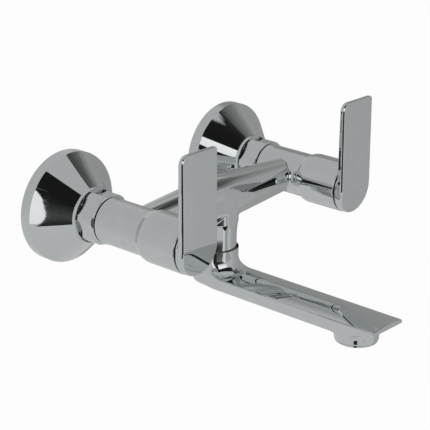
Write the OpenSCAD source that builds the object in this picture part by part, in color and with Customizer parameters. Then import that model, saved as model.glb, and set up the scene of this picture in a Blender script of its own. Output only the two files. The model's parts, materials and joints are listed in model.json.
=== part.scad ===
// Wall-mounted two-handle mixer with a low swivelling spout, in millimetres.
// The wall is the plane Y = 0 and the mixer stands out from it towards -Y. +Z is up.
// The origin lies on the wall, midway between the two inlets and level with them.
// Distances called "out" below are measured from the wall along a valve's own axis.

/* [Inlets] */
// Distance between the hot and the cold inlet
inlet_spacing = 150; // [140:1:170]
// Outer diameter of the G1/2 thread that enters the wall
wall_thread_d = 20.955; // [16:0.005:24]
// Length of that thread behind the wall face
wall_thread_len = 14; // [10:0.5:20]
// Outer diameter of the G3/4 thread under the union nut
leg_thread_d = 26.441; // [24:0.001:27]
// How far the wall thread sits below the valve axis
leg_offset = 6; // [2:0.5:8]
// Water bore of the eccentric leg
leg_bore_d = 14; // [10:0.5:15]
// Thickness of the web that joins the two ends of the leg
leg_web = 6; // [4:0.5:8]
// Thickness of the fibre washer in the union
washer_t = 2; // [1.5:0.25:3]

/* [Wall flange] */
// Diameter of the flange on the wall
flange_d = 70.8; // [64:0.2:82]
// Height of the straight band at its rim
flange_band = 7.4; // [5:0.1:9]
// How far the flange stands out from the wall
flange_depth = 27; // [24:0.5:32]
// Diameter of its small end
flange_front_d = 35.8; // [35:0.2:40]
// Thickness of its pressed shell
flange_wall = 1.3; // [1:0.1:2]
// Height of the lip that hides the back of the nut
flange_lip = 0.9; // [0.4:0.1:1.5]

/* [Union nut] */
// Size across the flats
nut_af = 30; // [29.5:0.1:31]
// Length of the nut
nut_len = 13.7; // [12:0.1:18]
// Thickness of the inner lip that pulls on the tail
nut_lip = 3; // [2:0.25:4]
// Turn of the hexagon about its axis, in degrees
nut_turn = 20; // [0:1:60]

/* [Inlet tail] */
// Outer diameter of the tail inside the nut's lip
tail_d = 21; // [19:0.5:21]
// Thickness of the tail's flange
tail_flange_t = 2.4; // [2:0.1:3]
// Thread diameter of the tail in the body
tail_thread_d = 17; // [15:0.5:18]
// Length of that thread
tail_thread_len = 7; // [5:0.5:8]
// Water bore of the tail
tail_bore_d = 12; // [9:0.5:13]

/* [Valve body] */
// Diameter of the collar at the back of a valve body
collar_d = 31.2; // [30:0.2:34]
// Length of the collar
collar_len = 3.4; // [2:0.2:5]
// Diameter of the waist
waist_d = 28.6; // [27.6:0.2:30]
// Diameter of the nose that the sleeve slides over
nose_d = 26.4; // [25.6:0.2:27]
// Distance from the back face to the valve seat
seat_inset = 9; // [8.5:0.25:10]
// Distance from the back face to the crossbar's axis
bar_inset = 20; // [19:0.1:20.8]
// Distance from the back face to the front of the nose
nose_inset = 42.6; // [41:0.2:48]
// Diameter of the chamber round the cartridge
chamber_d = 18.8; // [18.6:0.1:19.4]

/* [Crossbar and neck] */
// Diameter of the crossbar at its middle
bar_mid_d = 29.8; // [28:0.2:34]
// Diameter of the crossbar where it meets a valve body
bar_end_d = 22; // [19:0.5:24]
// Water channel in the crossbar
bar_channel_d = 12; // [9:0.5:12.5]
// Diameter of the neck at its lower face
neck_d = 26.6; // [25:0.2:29]
// How far inside the crossbar's radius the neck ends as it widens upwards
neck_inset = 0.6; // [0.2:0.1:1.4]
// Height over which the neck widens
neck_rise = 15; // [8:0.5:20]
// Distance from the valve axis down to the neck's lower face
neck_drop = 32.4; // [30:0.1:46]
// Height of the swivel joint's retaining screw above the neck's lower face
screw_rise = 9; // [8.5:0.1:9.5]

/* [Bonnet sleeve] */
// Outer diameter of the sleeve
sleeve_d = 32.6; // [31.6:0.2:36]
// Distance from the crossbar's axis to the back of the sleeve
sleeve_inset = 13.8; // [13.5:0.1:17]
// Length of the cone at the back of the sleeve
sleeve_cone = 5.5; // [3:0.5:7]
// Length of the whole sleeve
sleeve_len = 33.4; // [32.6:0.2:40]
// Wall of the sleeve
sleeve_wall = 1.5; // [1.2:0.1:2]

/* [Cartridge] */
// Outer diameter of the G1/2 cartridge thread
cartridge_thread_d = 20.8; // [20.2:0.1:21.4]
// Size across the flats of the cartridge's hexagon
cartridge_af = 19; // [18:0.5:21]
// Diameter of the ceramic discs
disc_d = 16; // [15.5:0.1:16]
// Thickness of each ceramic disc
disc_t = 3.2; // [2.6:0.1:3.4]
// Diameter of the spindle's shaft
shaft_d = 10; // [9:0.2:10.6]
// Diameter of the spindle's splined end
spline_d = 8; // [7:0.1:8.6]
// Number of teeth on the spline
spline_teeth = 20; // [12:2:28]

/* [Lever] */
// Width of the lever's plate
lever_w = 30; // [26:0.5:33]
// Height of the lever above the valve axis
lever_rise = 59.5; // [45:0.5:90]
// Thickness of the plate at the crease
lever_t = 4; // [3.6:0.1:5]
// Thickness of the lever at its hub
hub_t = 6.1; // [5.8:0.1:8]
// Radius of the plate's upper left corner
lever_corner = 5.2; // [2:0.2:8]
// Radius of the plate's upper right corner
lever_tip_corner = 2; // [1:0.2:6]
// Height of the crease in the front face above the valve axis
crease_rise = 1.5; // [0:0.5:4]
// Angle by which the face below the crease leans back
chin_angle = 4.5; // [2:0.5:6]
// Angle by which the face above the crease leans back
face_angle = 1.1; // [0.2:0.1:1.6]
// How far the round lower end of the lever is centred below the valve axis
hub_drop = 1; // [0:0.1:1.4]
// Diameter of the lever's grub screw
lever_screw_d = 3; // [2.5:0.1:3.4]

/* [Spout] */
// Width of the spout
spout_w = 29.4; // [28:0.2:34]
// Distance from the neck's axis to the spout's tip
spout_reach = 136; // [110:1:200]
// Thickness of the spout along its long edges
spout_t = 8; // [7:0.1:10]
// Radius of the slight crown across the spout's upper face
spout_crown_r = 88; // [60:1:400]
// Thickness of the plate at the spout's tip
tip_t = 2.2; // [2:0.1:3]
// Height of the collar under the swivel joint
collar_drop = 14.05; // [12:0.05:18]
// Radius of the fillet between the collar and the top plate
collar_fillet = 9; // [3:0.5:11]
// Distance from the tip back to the aerator's axis
boss_inset = 22.7; // [20:0.1:32]
// Diameter of the boss round the aerator
boss_d = 27.2; // [26.4:0.1:28]
// How far the boss hangs below the spout
boss_drop = 5.9; // [5.5:0.1:9]
// Radius of the fillet behind the boss
boss_fillet = 4; // [1:0.5:5]
// How far the underside rises at the rear end
heel_rise = 3; // [0.5:0.25:4]
// Wall of the spout above and below its channel
spout_wall = 1.5; // [1.2:0.1:1.8]
// Width of the spout's water channel
channel_w = 19; // [12:1:22]

/* [Swivel joint] */
// Diameter of the nipple that turns in the neck
nipple_d = 18.9; // [17.4:0.1:19.4]
// Length of the nipple inside the neck
nipple_len = 18; // [17:0.25:19]
// Thread diameter of the nipple in the spout's collar
nipple_thread_d = 17; // [15.4:0.1:17.2]
// Water bore of the nipple
nipple_bore_d = 11; // [8:0.5:11.5]
// Thickness of the O-rings' cord
oring_cord = 1.9; // [1.5:0.1:2.2]
// Thickness of the slide ring between the neck and the spout
slide_t = 0.7; // [0.5:0.1:1.2]
// Diameter of the retaining screw
neck_screw_d = 4; // [3:0.1:4.4]

/* [Aerator] */
// Thread diameter of the aerator's housing
aerator_d = 24; // [22:0.1:24.2]
// Height of the rim that shows below the boss
aerator_rim = 1.2; // [0.8:0.1:2]
// Wall of the aerator's housing
aerator_wall = 1.3; // [1:0.1:1.5]
// Height of the flow straightener
insert_h = 6; // [4:0.25:6]
// Side of one square hole in the straightener
insert_hole = 2.6; // [1.6:0.1:3]

/* [Clearances] */
// Gap between parts that are screwed together face to face
seat_gap = 0.05; // [0.02:0.01:0.1]
// Radial gap of threads and other fixed fits
fixed_fit = 0.05; // [0.02:0.01:0.1]
// Radial gap where a shaft turns in a bore
running_fit = 0.06; // [0.03:0.01:0.1]
// Gap that shows between neighbouring outer parts
show_gap = 0.4; // [0.3:0.05:0.6]
// Gap round a piece that turns inside another without touching it
free_gap = 0.3; // [0.2:0.05:0.4]

/* [Hidden] */
$fn = 96;
HOT = -1;
COLD = 1;
chrome = [0.74, 0.75, 0.76];
brass = [0.72, 0.58, 0.30];
ceramic = [0.93, 0.92, 0.88];
rubber = [0.12, 0.12, 0.13];
fibre = [0.32, 0.30, 0.28];
polymer = [0.86, 0.86, 0.84];
steel = [0.60, 0.61, 0.62];
over = 1;

// Stations along a valve's axis, counted out from the wall
nut_back = flange_depth + seat_gap;
nut_front = nut_back + nut_len;
body_back = nut_front + show_gap;
tail_front = nut_front - nut_lip - seat_gap;
tail_back = tail_front - tail_flange_t;
leg_front = tail_back - washer_t - 2 * seat_gap;
leg_shoulder = 3;
seat_at = body_back + seat_inset;
bar_at = body_back + bar_inset;
nose_at = body_back + nose_inset;
sleeve_back = bar_at + sleeve_inset;
sleeve_front = sleeve_back + sleeve_len;
lever_back = sleeve_front + show_gap;
lever_front = lever_back + hub_t;

// The nut's corners are turned down to a circle, and its front is chamfered
nut_corner_r = nut_af / 2 / cos(30) - 0.7;
nut_chamfer = 30;
nut_bore_r = leg_thread_d / 2 + fixed_fit;

// Cartridge stations
seal_h = 3.2;
cage_lift = 1;
cage_back = seat_at + cage_lift;
fixed_disc_back = seat_at + seat_gap + seal_h + seat_gap;
moving_disc_back = fixed_disc_back + disc_t + seat_gap;
foot_back = moving_disc_back + disc_t + seat_gap;
foot_lug = 6.3;
foot_plate = 1.6;
foot_front = foot_back + foot_lug + foot_plate;
cage_wall = 0.8;
cage_bore_r = disc_d / 2 + free_gap;
cage_r = cage_bore_r + cage_wall;
cartridge_thread_len = 11;
cartridge_thread_back = nose_at - cartridge_thread_len;
bonnet_washer_t = 1;
bonnet_flange_back = nose_at + bonnet_washer_t + 2 * seat_gap;
bonnet_flange_t = 2;
bonnet_flange_inset = 0.8;
bonnet_flange_r = nose_d / 2 - bonnet_flange_inset;
bonnet_hex_back = bonnet_flange_back + bonnet_flange_t;
bonnet_hex_len = 6;
bonnet_tube_back = bonnet_hex_back + bonnet_hex_len;
bonnet_tube_len = 5.6;
bonnet_front = bonnet_tube_back + bonnet_tube_len;
bonnet_tube_wall = 2.2;
bonnet_tube_r = shaft_d / 2 + bonnet_tube_wall;
clip_t = 1;
clip_groove = 0.8;
clip_reach = 1.6;
clip_back = bonnet_front + 0.2;
spindle_oring_cord = 1.5;
spindle_oring_inset = 4;
spindle_oring_at = nose_at - spindle_oring_inset;
spline_depth = 0.35;
spline_back = clip_back + clip_t + clip_groove;
lever_face = 2.7;
socket_front = lever_front - lever_face;
spindle_front = socket_front - free_gap;
lever_boss_r = 8.5;
lever_boss_len = 5;
port_inner_r = 2.2;
port_outer_r = 6.4;
port_angle = 84;
dog_depth = 1.4;
dog_angle = 30;
dog_inner_r = 6.6;
dog_play = 2;
window_w = 10;

// Levels of the neck and the spout, on the world's Z
neck_bottom = -neck_drop;
collar_top = neck_bottom - slide_t - 2 * seat_gap;
spout_top = neck_bottom - collar_drop - slide_t;
spout_bottom = spout_top - spout_t;
crown_rise = spout_crown_r - sqrt(pow(spout_crown_r, 2) - pow(spout_w / 2, 2));
neck_bore_r = nipple_d / 2 + running_fit;
nipple_top = neck_bottom + nipple_len;
nipple_end_gap = 1;
neck_bore_top = nipple_top + nipple_end_gap;
neck_screw_z = neck_bottom + screw_rise;
groove_depth = 1.9;
groove_r = nipple_d / 2 - groove_depth;
oring_groove_r = nipple_d / 2 - oring_cord + 0.02;
oring_inset = 3;
nipple_thread_len = 7;
nipple_thread_bottom = collar_top - nipple_thread_len;
neck_screw_tip_r = 1.6;
neck_screw_tip_at = groove_r + 0.4;
boss_at = spout_reach - boss_inset;
boss_bottom = spout_bottom - boss_drop;
channel_top = spout_top - spout_wall;
channel_bottom = spout_bottom + spout_wall;
insert_headroom = 1;
aerator_top = boss_bottom + aerator_rim + insert_h + insert_headroom;
aerator_seal_t = 1.5;
aerator_seal_top = aerator_top + aerator_seal_t + 2 * seat_gap;
aerator_rim_overhang = 1;
aerator_rim_r = aerator_d / 2 + aerator_rim_overhang;
aerator_seal_land = 1;
aerator_seal_bore_r = aerator_d / 2 - aerator_wall - aerator_seal_land;
aerator_bottom = boss_bottom - aerator_rim - seat_gap;
aerator_lip = 1.2;
insert_web = 0.9;
insert_pitch = insert_hole + insert_web;
insert_reach = 2;

// Places a piece drawn along +Z on a valve's axis, with Z counted out from the wall
module at_inlet(side)
    translate([side * inlet_spacing / 2, 0, 0]) rotate([90, 0, 0]) children();

// Places a piece drawn round the Z axis on the neck's axis
module at_neck()
    translate([0, -bar_at, 0]) children();

// A flat ring between two levels
module ring(outer_r, inner_r, from, to)
    difference() {
        translate([0, 0, from]) cylinder(r = outer_r, h = to - from);
        translate([0, 0, from - over]) cylinder(r = inner_r, h = to - from + 2 * over);
    }

// A plain rod or bore between two levels
module rod(r, from, to)
    translate([0, 0, from]) cylinder(r = r, h = to - from);

// A six-sided bar between two levels, given by its size across the flats
module hex_bar(af, from, to)
    translate([0, 0, from]) cylinder(r = af / 2 / cos(30), h = to - from, $fn = 6);

// A hexagon whose front is chamfered and whose corners are turned down
module chamfered_hex(af, corner_r, from, to) {
    inner_r = af / 2 - 0.6;
    slope = (corner_r - inner_r) * tan(nut_chamfer);
    intersection() {
        hex_bar(af, from, to);
        rotate_extrude() polygon([
            [0, from], [corner_r, from], [corner_r, to - slope], [inner_r, to], [0, to]
        ]);
    }
}

// A sector of a ring, as a flat outline centred on an angle
module sector(inner_r, outer_r, angle, centre)
    intersection() {
        difference() {
            circle(r = outer_r);
            circle(r = inner_r);
        }
        rotate(centre) polygon([
            [0, 0],
            for (k = [-2 : 2]) 2 * outer_r * [cos(k * angle / 4), sin(k * angle / 4)]
        ]);
    }

// Two opposite sectors of a ring
module sector_pair(inner_r, outer_r, angle, centre)
    for (turn = [0, 180]) sector(inner_r, outer_r, angle, centre + turn);

// A toothed outline for the spline and its socket
module spline_outline(r)
    polygon([
        for (k = [0 : 2 * spline_teeth - 1])
            (r - (k % 2) * spline_depth) * [cos(k * 180 / spline_teeth), sin(k * 180 / spline_teeth)]
    ]);

// Conical flange that covers the hole in the wall, with a lip round the back of the nut
module wall_flange(side) {
    rim_r = flange_d / 2;
    front_r = flange_front_d / 2;
    rim_round = 0.8;
    web_t = 2.5;
    lip_wall = 0.8;
    inner_drop = 0.6;
    inner_round = 1;
    hole_r = leg_thread_d / 2 + fixed_fit;
    color(chrome) at_inlet(side) rotate_extrude() polygon([
        [rim_r - flange_wall, 0], [rim_r, 0], [rim_r, flange_band - rim_round],
        [rim_r - rim_round, flange_band], [front_r, flange_depth - 0.5],
        [front_r, flange_depth + flange_lip], [front_r - lip_wall, flange_depth + flange_lip],
        [front_r - lip_wall, flange_depth], [hole_r, flange_depth], [hole_r, flange_depth - web_t],
        [front_r - flange_wall, flange_depth - web_t],
        [rim_r - rim_round - flange_wall, flange_band - inner_drop],
        [rim_r - flange_wall, flange_band - inner_drop - inner_round]
    ]);
}

// Eccentric leg: wall thread and union thread on two parallel axes, joined by a rimmed web
module eccentric_leg(side) {
    leg_rim = 1;
    wall_r = wall_thread_d / 2;
    leg_r = leg_thread_d / 2;
    web_front = leg_shoulder + leg_web;
    color(brass) at_inlet(side) difference() {
        union() {
            translate([0, -leg_offset, 0]) rod(wall_r, -wall_thread_len, web_front);
            translate([0, -leg_offset, 0]) rod(wall_r + leg_rim, leg_shoulder, web_front);
            rod(leg_r, leg_shoulder, leg_front);
        }
        translate([0, -leg_offset, 0]) rod(leg_bore_d / 2, -wall_thread_len - over, web_front - 1);
        rod(leg_bore_d / 2, leg_shoulder + 1, leg_front + over);
    }
}

// Chamfered hexagonal nut that draws the tail against the leg
module union_nut(side)
    color(chrome) at_inlet(side) difference() {
        rotate(nut_turn) chamfered_hex(nut_af, nut_corner_r, nut_back, nut_front);
        rod(nut_bore_r, nut_back - over, nut_front - nut_lip);
        rod(tail_d / 2 + free_gap, nut_back, nut_front + over);
    }

// Fibre washer squeezed in the union
module union_washer(side)
    color(fibre) at_inlet(side)
        ring(nut_bore_r - free_gap, tail_bore_d / 2, leg_front + seat_gap, tail_back - seat_gap);

// Threaded tail of the body, held by the nut's lip
module inlet_tail(side)
    color(brass) at_inlet(side) difference() {
        union() {
            rod(nut_bore_r - free_gap, tail_back, tail_front);
            rod(tail_d / 2, tail_back, body_back - seat_gap);
            rod(tail_thread_d / 2, tail_back, body_back + tail_thread_len);
        }
        rod(tail_bore_d / 2, tail_back - over, body_back + tail_thread_len + over);
    }

// Outside of one valve body: collar, chamfer, waist and nose
module valve_shell() {
    chamfer = 2.2;
    edge = 0.4;
    collar_r = collar_d / 2;
    waist_r = waist_d / 2;
    nose_r = nose_d / 2;
    rotate_extrude() polygon([
        [0, body_back], [collar_r - edge, body_back], [collar_r, body_back + edge],
        [collar_r, body_back + collar_len], [waist_r, body_back + collar_len + chamfer],
        [waist_r, sleeve_back - seat_gap], [nose_r, sleeve_back - seat_gap],
        [nose_r, nose_at], [0, nose_at]
    ]);
}

// Bores of one valve body: tail thread, seat, chamber and cartridge thread
module valve_bores() {
    rod(tail_thread_d / 2 + fixed_fit, body_back - over, body_back + tail_thread_len + seat_gap);
    rod(tail_bore_d / 2, body_back, seat_at + over);
    rod(chamber_d / 2, seat_at, cartridge_thread_back);
    rod(cartridge_thread_d / 2 + fixed_fit, cartridge_thread_back, nose_at + over);
}

// Crossbar along X: two long cones that meet in a soft crown at the middle
module crossbar_shell() {
    half = inlet_spacing / 2 - waist_d / 4;
    crown = 0.12;
    steps = 12;
    mid_r = bar_mid_d / 2;
    end_r = bar_end_d / 2;
    reach = inlet_spacing / 2 - waist_d / 2;
    drop = (mid_r - end_r) / (sqrt(1 + crown * crown) - crown);
    points = [
        for (k = [-steps : steps])
            let (x = half * k / steps, t = x / reach)
                [mid_r - drop * (sqrt(t * t + crown * crown) - crown), x]
    ];
    rotate([0, 90, 0]) rotate_extrude() polygon(concat([[0, -half]], points, [[0, half]]));
}

// Neck: a cylinder that widens upwards in a parabola until it is nearly as wide as the crossbar
module neck_shell() {
    bands = [0, 0.4, 0.8, 1];
    low_r = neck_d / 2;
    top_r = bar_mid_d / 2 - neck_inset;
    rotate_extrude() polygon(concat(
        [[0, neck_bottom]],
        [for (t = bands) [low_r + (top_r - low_r) * t * t, neck_bottom + neck_rise * t]],
        [[top_r, 0], [0, 0]]
    ));
}

// One brass casting: two valve bodies, the crossbar and the neck
module mixer_body()
    color(chrome) difference() {
        union() {
            for (side = [HOT, COLD]) at_inlet(side) valve_shell();
            at_neck() crossbar_shell();
            at_neck() neck_shell();
        }
        for (side = [HOT, COLD]) at_inlet(side) valve_bores();
        at_neck() rotate([0, 90, 0]) rod(bar_channel_d / 2, -inlet_spacing / 2, inlet_spacing / 2);
        at_neck() rod(bar_channel_d / 2, neck_bottom, 0);
        at_neck() rod(neck_bore_r, neck_bottom - over, neck_bore_top);
        at_neck() translate([0, 0, neck_screw_z]) rotate([-90, 0, 0])
            rod(neck_screw_d / 2 + fixed_fit, 0, neck_d);
    }

// Sleeve that hides the cartridge, with the cone that steps out from the waist
module bonnet_sleeve(side) {
    outer_r = sleeve_d / 2;
    front_edge = 0.5;
    step_at = bonnet_flange_back + bonnet_flange_t + 1;
    color(chrome) at_inlet(side) rotate_extrude() polygon([
        [nose_d / 2 + fixed_fit, sleeve_back], [waist_d / 2, sleeve_back],
        [outer_r, sleeve_back + sleeve_cone], [outer_r, sleeve_front - front_edge],
        [outer_r - front_edge, sleeve_front], [outer_r - sleeve_wall, sleeve_front],
        [outer_r - sleeve_wall, step_at], [nose_d / 2 + fixed_fit, step_at - 1]
    ]);
}

// Fibre washer under the cartridge's flange
module bonnet_washer(side)
    color(fibre) at_inlet(side)
        ring(bonnet_flange_r, cartridge_thread_d / 2 + fixed_fit, nose_at + seat_gap,
             nose_at + seat_gap + bonnet_washer_t);

// Fixed part of the ceramic-disc cartridge: cage, thread, flange, hexagon and tube
module cartridge_body(side) {
    cage_front = foot_front + running_fit;
    color(brass) at_inlet(side) difference() {
        union() {
            rod(cage_r, cage_back, cartridge_thread_back + over);
            rod(cartridge_thread_d / 2, cartridge_thread_back + seat_gap, bonnet_flange_back);
            rod(bonnet_flange_r, bonnet_flange_back, bonnet_hex_back);
            hex_bar(cartridge_af, bonnet_hex_back, bonnet_tube_back);
            rod(bonnet_tube_r, bonnet_tube_back, bonnet_front);
        }
        rod(cage_bore_r, cage_back - over, cage_front);
        rod(shaft_d / 2 + running_fit, cage_back, bonnet_front + over);
        translate([-chamber_d / 2, -window_w / 2, foot_back + 0.3])
            cube([chamber_d, window_w, foot_lug - 0.3]);
    }
}

// Spindle: foot with two lugs that drive the moving disc, shaft, and splined end
module spindle(side) {
    foot_r = disc_d / 2;
    shaft_r = shaft_d / 2;
    groove_half = spindle_oring_cord / 2 + running_fit;
    color(brass) at_inlet(side) {
        difference() {
            union() {
                translate([0, 0, foot_back]) linear_extrude(foot_lug + seat_gap)
                    sector_pair(port_inner_r, foot_r, 180 - port_angle - 20, 0);
                translate([0, 0, foot_back - dog_depth]) linear_extrude(dog_depth + seat_gap)
                    sector_pair(dog_inner_r, foot_r, dog_angle, 0);
                rod(foot_r, foot_back + foot_lug, foot_front);
                rod(shaft_r, foot_front - seat_gap, spline_back);
                translate([0, 0, spline_back - seat_gap])
                    linear_extrude(spindle_front - spline_back + seat_gap) spline_outline(spline_d / 2);
            }
            ring(shaft_r + over, shaft_r - spindle_oring_cord + 0.05,
                 spindle_oring_at - groove_half, spindle_oring_at + groove_half);
            ring(shaft_r + over, shaft_r - clip_groove, clip_back, clip_back + clip_t + seat_gap);
        }
    }
}

// Rubber ring that seals the spindle in its bonnet
module spindle_oring(side) {
    cord_r = spindle_oring_cord / 2;
    color(rubber) at_inlet(side) translate([0, 0, spindle_oring_at]) rotate_extrude()
        translate([shaft_d / 2 - cord_r + running_fit / 3, 0])
            circle(r = cord_r - running_fit / 3, $fn = 32);
}

// Open clip in the spindle's groove, in front of the bonnet
module spindle_clip(side) {
    inner_r = shaft_d / 2 - clip_groove + fixed_fit;
    opening = 5;
    color(steel) at_inlet(side) difference() {
        ring(shaft_d / 2 + clip_reach, inner_r, clip_back + seat_gap / 2, clip_back + clip_t);
        translate([-opening / 2, 0, clip_back - over]) cube([opening, shaft_d, clip_t + 2 * over]);
    }
}

// Ceramic disc that turns with the spindle; its two ports stand across the fixed ones
module moving_disc(side)
    color(ceramic) at_inlet(side) difference() {
        rod(disc_d / 2, moving_disc_back, moving_disc_back + disc_t);
        translate([0, 0, moving_disc_back - over]) linear_extrude(disc_t + 2 * over)
            sector_pair(port_inner_r, port_outer_r, port_angle, 90);
        translate([0, 0, foot_back - dog_depth - free_gap]) linear_extrude(disc_t)
            sector_pair(dog_inner_r - free_gap, disc_d, dog_angle + dog_play, 0);
    }

// Ceramic disc that stays in the cage
module fixed_disc(side)
    color(ceramic) at_inlet(side) difference() {
        rod(cage_bore_r - fixed_fit, fixed_disc_back, fixed_disc_back + disc_t);
        translate([0, 0, fixed_disc_back - over]) linear_extrude(disc_t + 2 * over)
            sector_pair(port_inner_r, port_outer_r, port_angle, 0);
    }

// Rubber ring between the fixed disc and the valve seat
module seat_seal(side)
    color(rubber) at_inlet(side)
        ring(cage_bore_r - fixed_fit, port_outer_r, seat_at + seat_gap, seat_at + seat_gap + seal_h);

// Outline of the lever's plate: round below, square above with two round corners
module lever_outline() {
    half = lever_w / 2;
    translate([0, -hub_drop]) circle(r = half);
    translate([-over, -hub_drop]) square([2 * over, lever_rise + hub_drop]);
    for (corner = [[-1, lever_corner], [1, lever_tip_corner]]) {
        inset = half - corner[1];
        level = lever_rise - corner[1];
        translate([corner[0] * half / 2, (level - hub_drop) / 2])
            square([half, level + hub_drop], center = true);
        translate([corner[0] * inset / 2, lever_rise / 2]) square([inset, lever_rise], center = true);
        translate([corner[0] * inset, level]) circle(r = corner[1], $fn = 48);
    }
}

// Level of the lever's grub screw along the valve axis
chin_len = lever_w / 2 + hub_drop + crease_rise;
lever_screw_at = lever_back + (hub_t - chin_len * tan(chin_angle)) / 2;

// L-shaped lever: plate, hub and splined boss; its face leans back from a faint crease
module lever(side)
    color(chrome) at_inlet(side) difference() {
        union() {
            translate([0, 0, lever_front - lever_t]) linear_extrude(lever_t) lever_outline();
            translate([0, -hub_drop, 0]) rod(lever_w / 2, lever_back, lever_front);
            rod(lever_boss_r, lever_back - lever_boss_len, lever_back + over);
        }
        translate([-lever_w, crease_rise, lever_front]) {
            rotate([chin_angle, 0, 0]) translate([0, -2 * lever_w, 0])
                cube([2 * lever_w, 2 * lever_w, lever_t]);
            rotate([-face_angle, 0, 0]) cube([2 * lever_w, 2 * lever_rise, lever_t]);
        }
        translate([0, 0, lever_back - lever_boss_len - over])
            linear_extrude(socket_front - lever_back + lever_boss_len + over)
                spline_outline(spline_d / 2 + fixed_fit);
        translate([0, 0, lever_screw_at]) rotate([90, 0, 0])
            rod(lever_screw_d / 2 + fixed_fit, spline_d / 4, lever_w);
    }

// Grub screw in the underside of the hub, with a hexagonal socket
module lever_screw(side) {
    inset = 1.2;
    socket_af = 1.5;
    socket_depth = 2;
    outer_end = lever_w / 2 + hub_drop - inset;
    color(steel) at_inlet(side) translate([0, 0, lever_screw_at]) rotate([90, 0, 0]) difference() {
        rod(lever_screw_d / 2, spline_d / 2 + fixed_fit, outer_end);
        hex_bar(socket_af, outer_end - socket_depth, outer_end + over);
    }
}

// Grub screw at the back of the neck, whose point runs in the nipple's groove
module neck_screw() {
    inset = 0.8;
    tip_len = 2;
    socket_af = 2;
    socket_depth = 2;
    outer_end = neck_d / 2 - inset;
    color(steel) at_neck() translate([0, 0, neck_screw_z]) rotate([-90, 0, 0]) difference() {
        union() {
            rod(neck_screw_tip_r, neck_screw_tip_at, neck_screw_tip_at + tip_len + over);
            rod(neck_screw_d / 2, neck_screw_tip_at + tip_len, outer_end);
        }
        hex_bar(socket_af, outer_end - socket_depth, outer_end + over);
    }
}

// Thin ring that the spout's collar slides on
module slide_ring() {
    inset = 0.1;
    bottom = collar_top + seat_gap;
    color(polymer) at_neck()
        ring(neck_d / 2 - inset, neck_bore_r + free_gap, bottom, bottom + slide_t);
}

// Nipple fixed in the spout: two O-ring grooves and the groove for the retaining screw
module swivel_nipple() {
    outer_r = nipple_d / 2;
    ring_half = oring_cord / 2 + running_fit;
    groove_half = neck_screw_tip_r + running_fit;
    color(brass) at_neck() difference() {
        union() {
            rod(outer_r, collar_top + seat_gap, nipple_top);
            rod(nipple_thread_d / 2, nipple_thread_bottom, collar_top + over);
        }
        rod(nipple_bore_d / 2, nipple_thread_bottom - over, nipple_top + over);
        ring(outer_r + over, groove_r, neck_screw_z - groove_half, neck_screw_z + groove_half);
        for (z = [nipple_top - oring_inset, neck_bottom + oring_inset])
            ring(outer_r + over, oring_groove_r, z - ring_half, z + ring_half);
    }
}

// The two O-rings on the nipple
module swivel_orings() {
    cord_r = oring_cord / 2;
    color(rubber) at_neck() for (z = [nipple_top - oring_inset, neck_bottom + oring_inset])
        translate([0, 0, z]) rotate_extrude()
            translate([nipple_d / 2 - cord_r + running_fit / 2, 0])
                circle(r = cord_r - running_fit / 3, $fn = 32);
}

// Outline of the spout from above: round behind the neck, square at the tip
module spout_outline() {
    circle(r = spout_w / 2);
    translate([-spout_w / 2, -spout_reach]) square([spout_w, spout_reach]);
}

// Concave fillet round an upright cylinder, standing on the level z = 0 and widening down to it
module fillet_ring(r, fillet) {
    steps = 8;
    rotate_extrude() polygon(concat(
        [[0, -over], [r + fillet, -over]],
        [for (k = [0 : steps]) let (a = 90 * k / steps)
            [r + fillet * (1 - sin(a)), fillet * (1 - cos(a))]],
        [[0, fillet]]
    ));
}

// Side view of what is cut from the flat bar: the slope under the tip and the rise of the heel
module spout_cuts() {
    heel = spout_w / 2;
    rotate([90, 0, 90]) translate([0, 0, -spout_w]) linear_extrude(2 * spout_w) {
        polygon([
            [-boss_at, spout_bottom - over], [-boss_at, spout_bottom],
            [-spout_reach - over, spout_top - tip_t], [-spout_reach - over, spout_bottom - over]
        ]);
        polygon([
            [-heel / 4, spout_bottom - over], [-heel / 4, spout_bottom],
            [heel / 2, spout_bottom + heel_rise / 4], [heel + over, spout_bottom + heel_rise],
            [heel + over, spout_bottom - over]
        ]);
    }
}

// The bar of the spout, whose upper face is a flat arch between its long edges
module spout_bar()
    difference() {
        intersection() {
            translate([0, 0, spout_bottom]) linear_extrude(spout_t + crown_rise) spout_outline();
            translate([0, spout_w, spout_top + crown_rise - spout_crown_r]) rotate([90, 0, 0])
                cylinder(r = spout_crown_r, h = spout_reach + 2 * spout_w, $fn = 360);
        }
        spout_cuts();
    }

// Cast spout with its collar, water channel and aerator boss
module spout() {
    color(chrome) at_neck() difference() {
        union() {
            spout_bar();
            rod(spout_w / 2, spout_top - over, collar_top);
            intersection() {
                translate([0, 0, spout_top]) fillet_ring(spout_w / 2, collar_fillet);
                translate([0, 0, spout_top - over / 2])
                    linear_extrude(collar_top - spout_top) spout_outline();
            }
            translate([0, -boss_at, 0]) rod(boss_d / 2, boss_bottom, spout_top - over);
            intersection() {
                translate([0, -boss_at, spout_bottom]) mirror([0, 0, 1])
                    fillet_ring(boss_d / 2, boss_fillet);
                translate([-spout_w / 2, -boss_at, boss_bottom])
                    cube([spout_w, boss_at, boss_drop + over / 2]);
            }
        }
        translate([-channel_w / 2, -boss_at, channel_bottom])
            cube([channel_w, boss_at, channel_top - channel_bottom]);
        rod(nipple_bore_d / 2, channel_bottom, collar_top + over);
        rod(nipple_thread_d / 2 + fixed_fit, nipple_thread_bottom - seat_gap, collar_top + over);
        translate([0, -boss_at, 0]) {
            rod(aerator_d / 2 + fixed_fit, boss_bottom - over, aerator_seal_top);
            rod(aerator_seal_bore_r, boss_bottom, channel_top);
        }
    }
}

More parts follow.
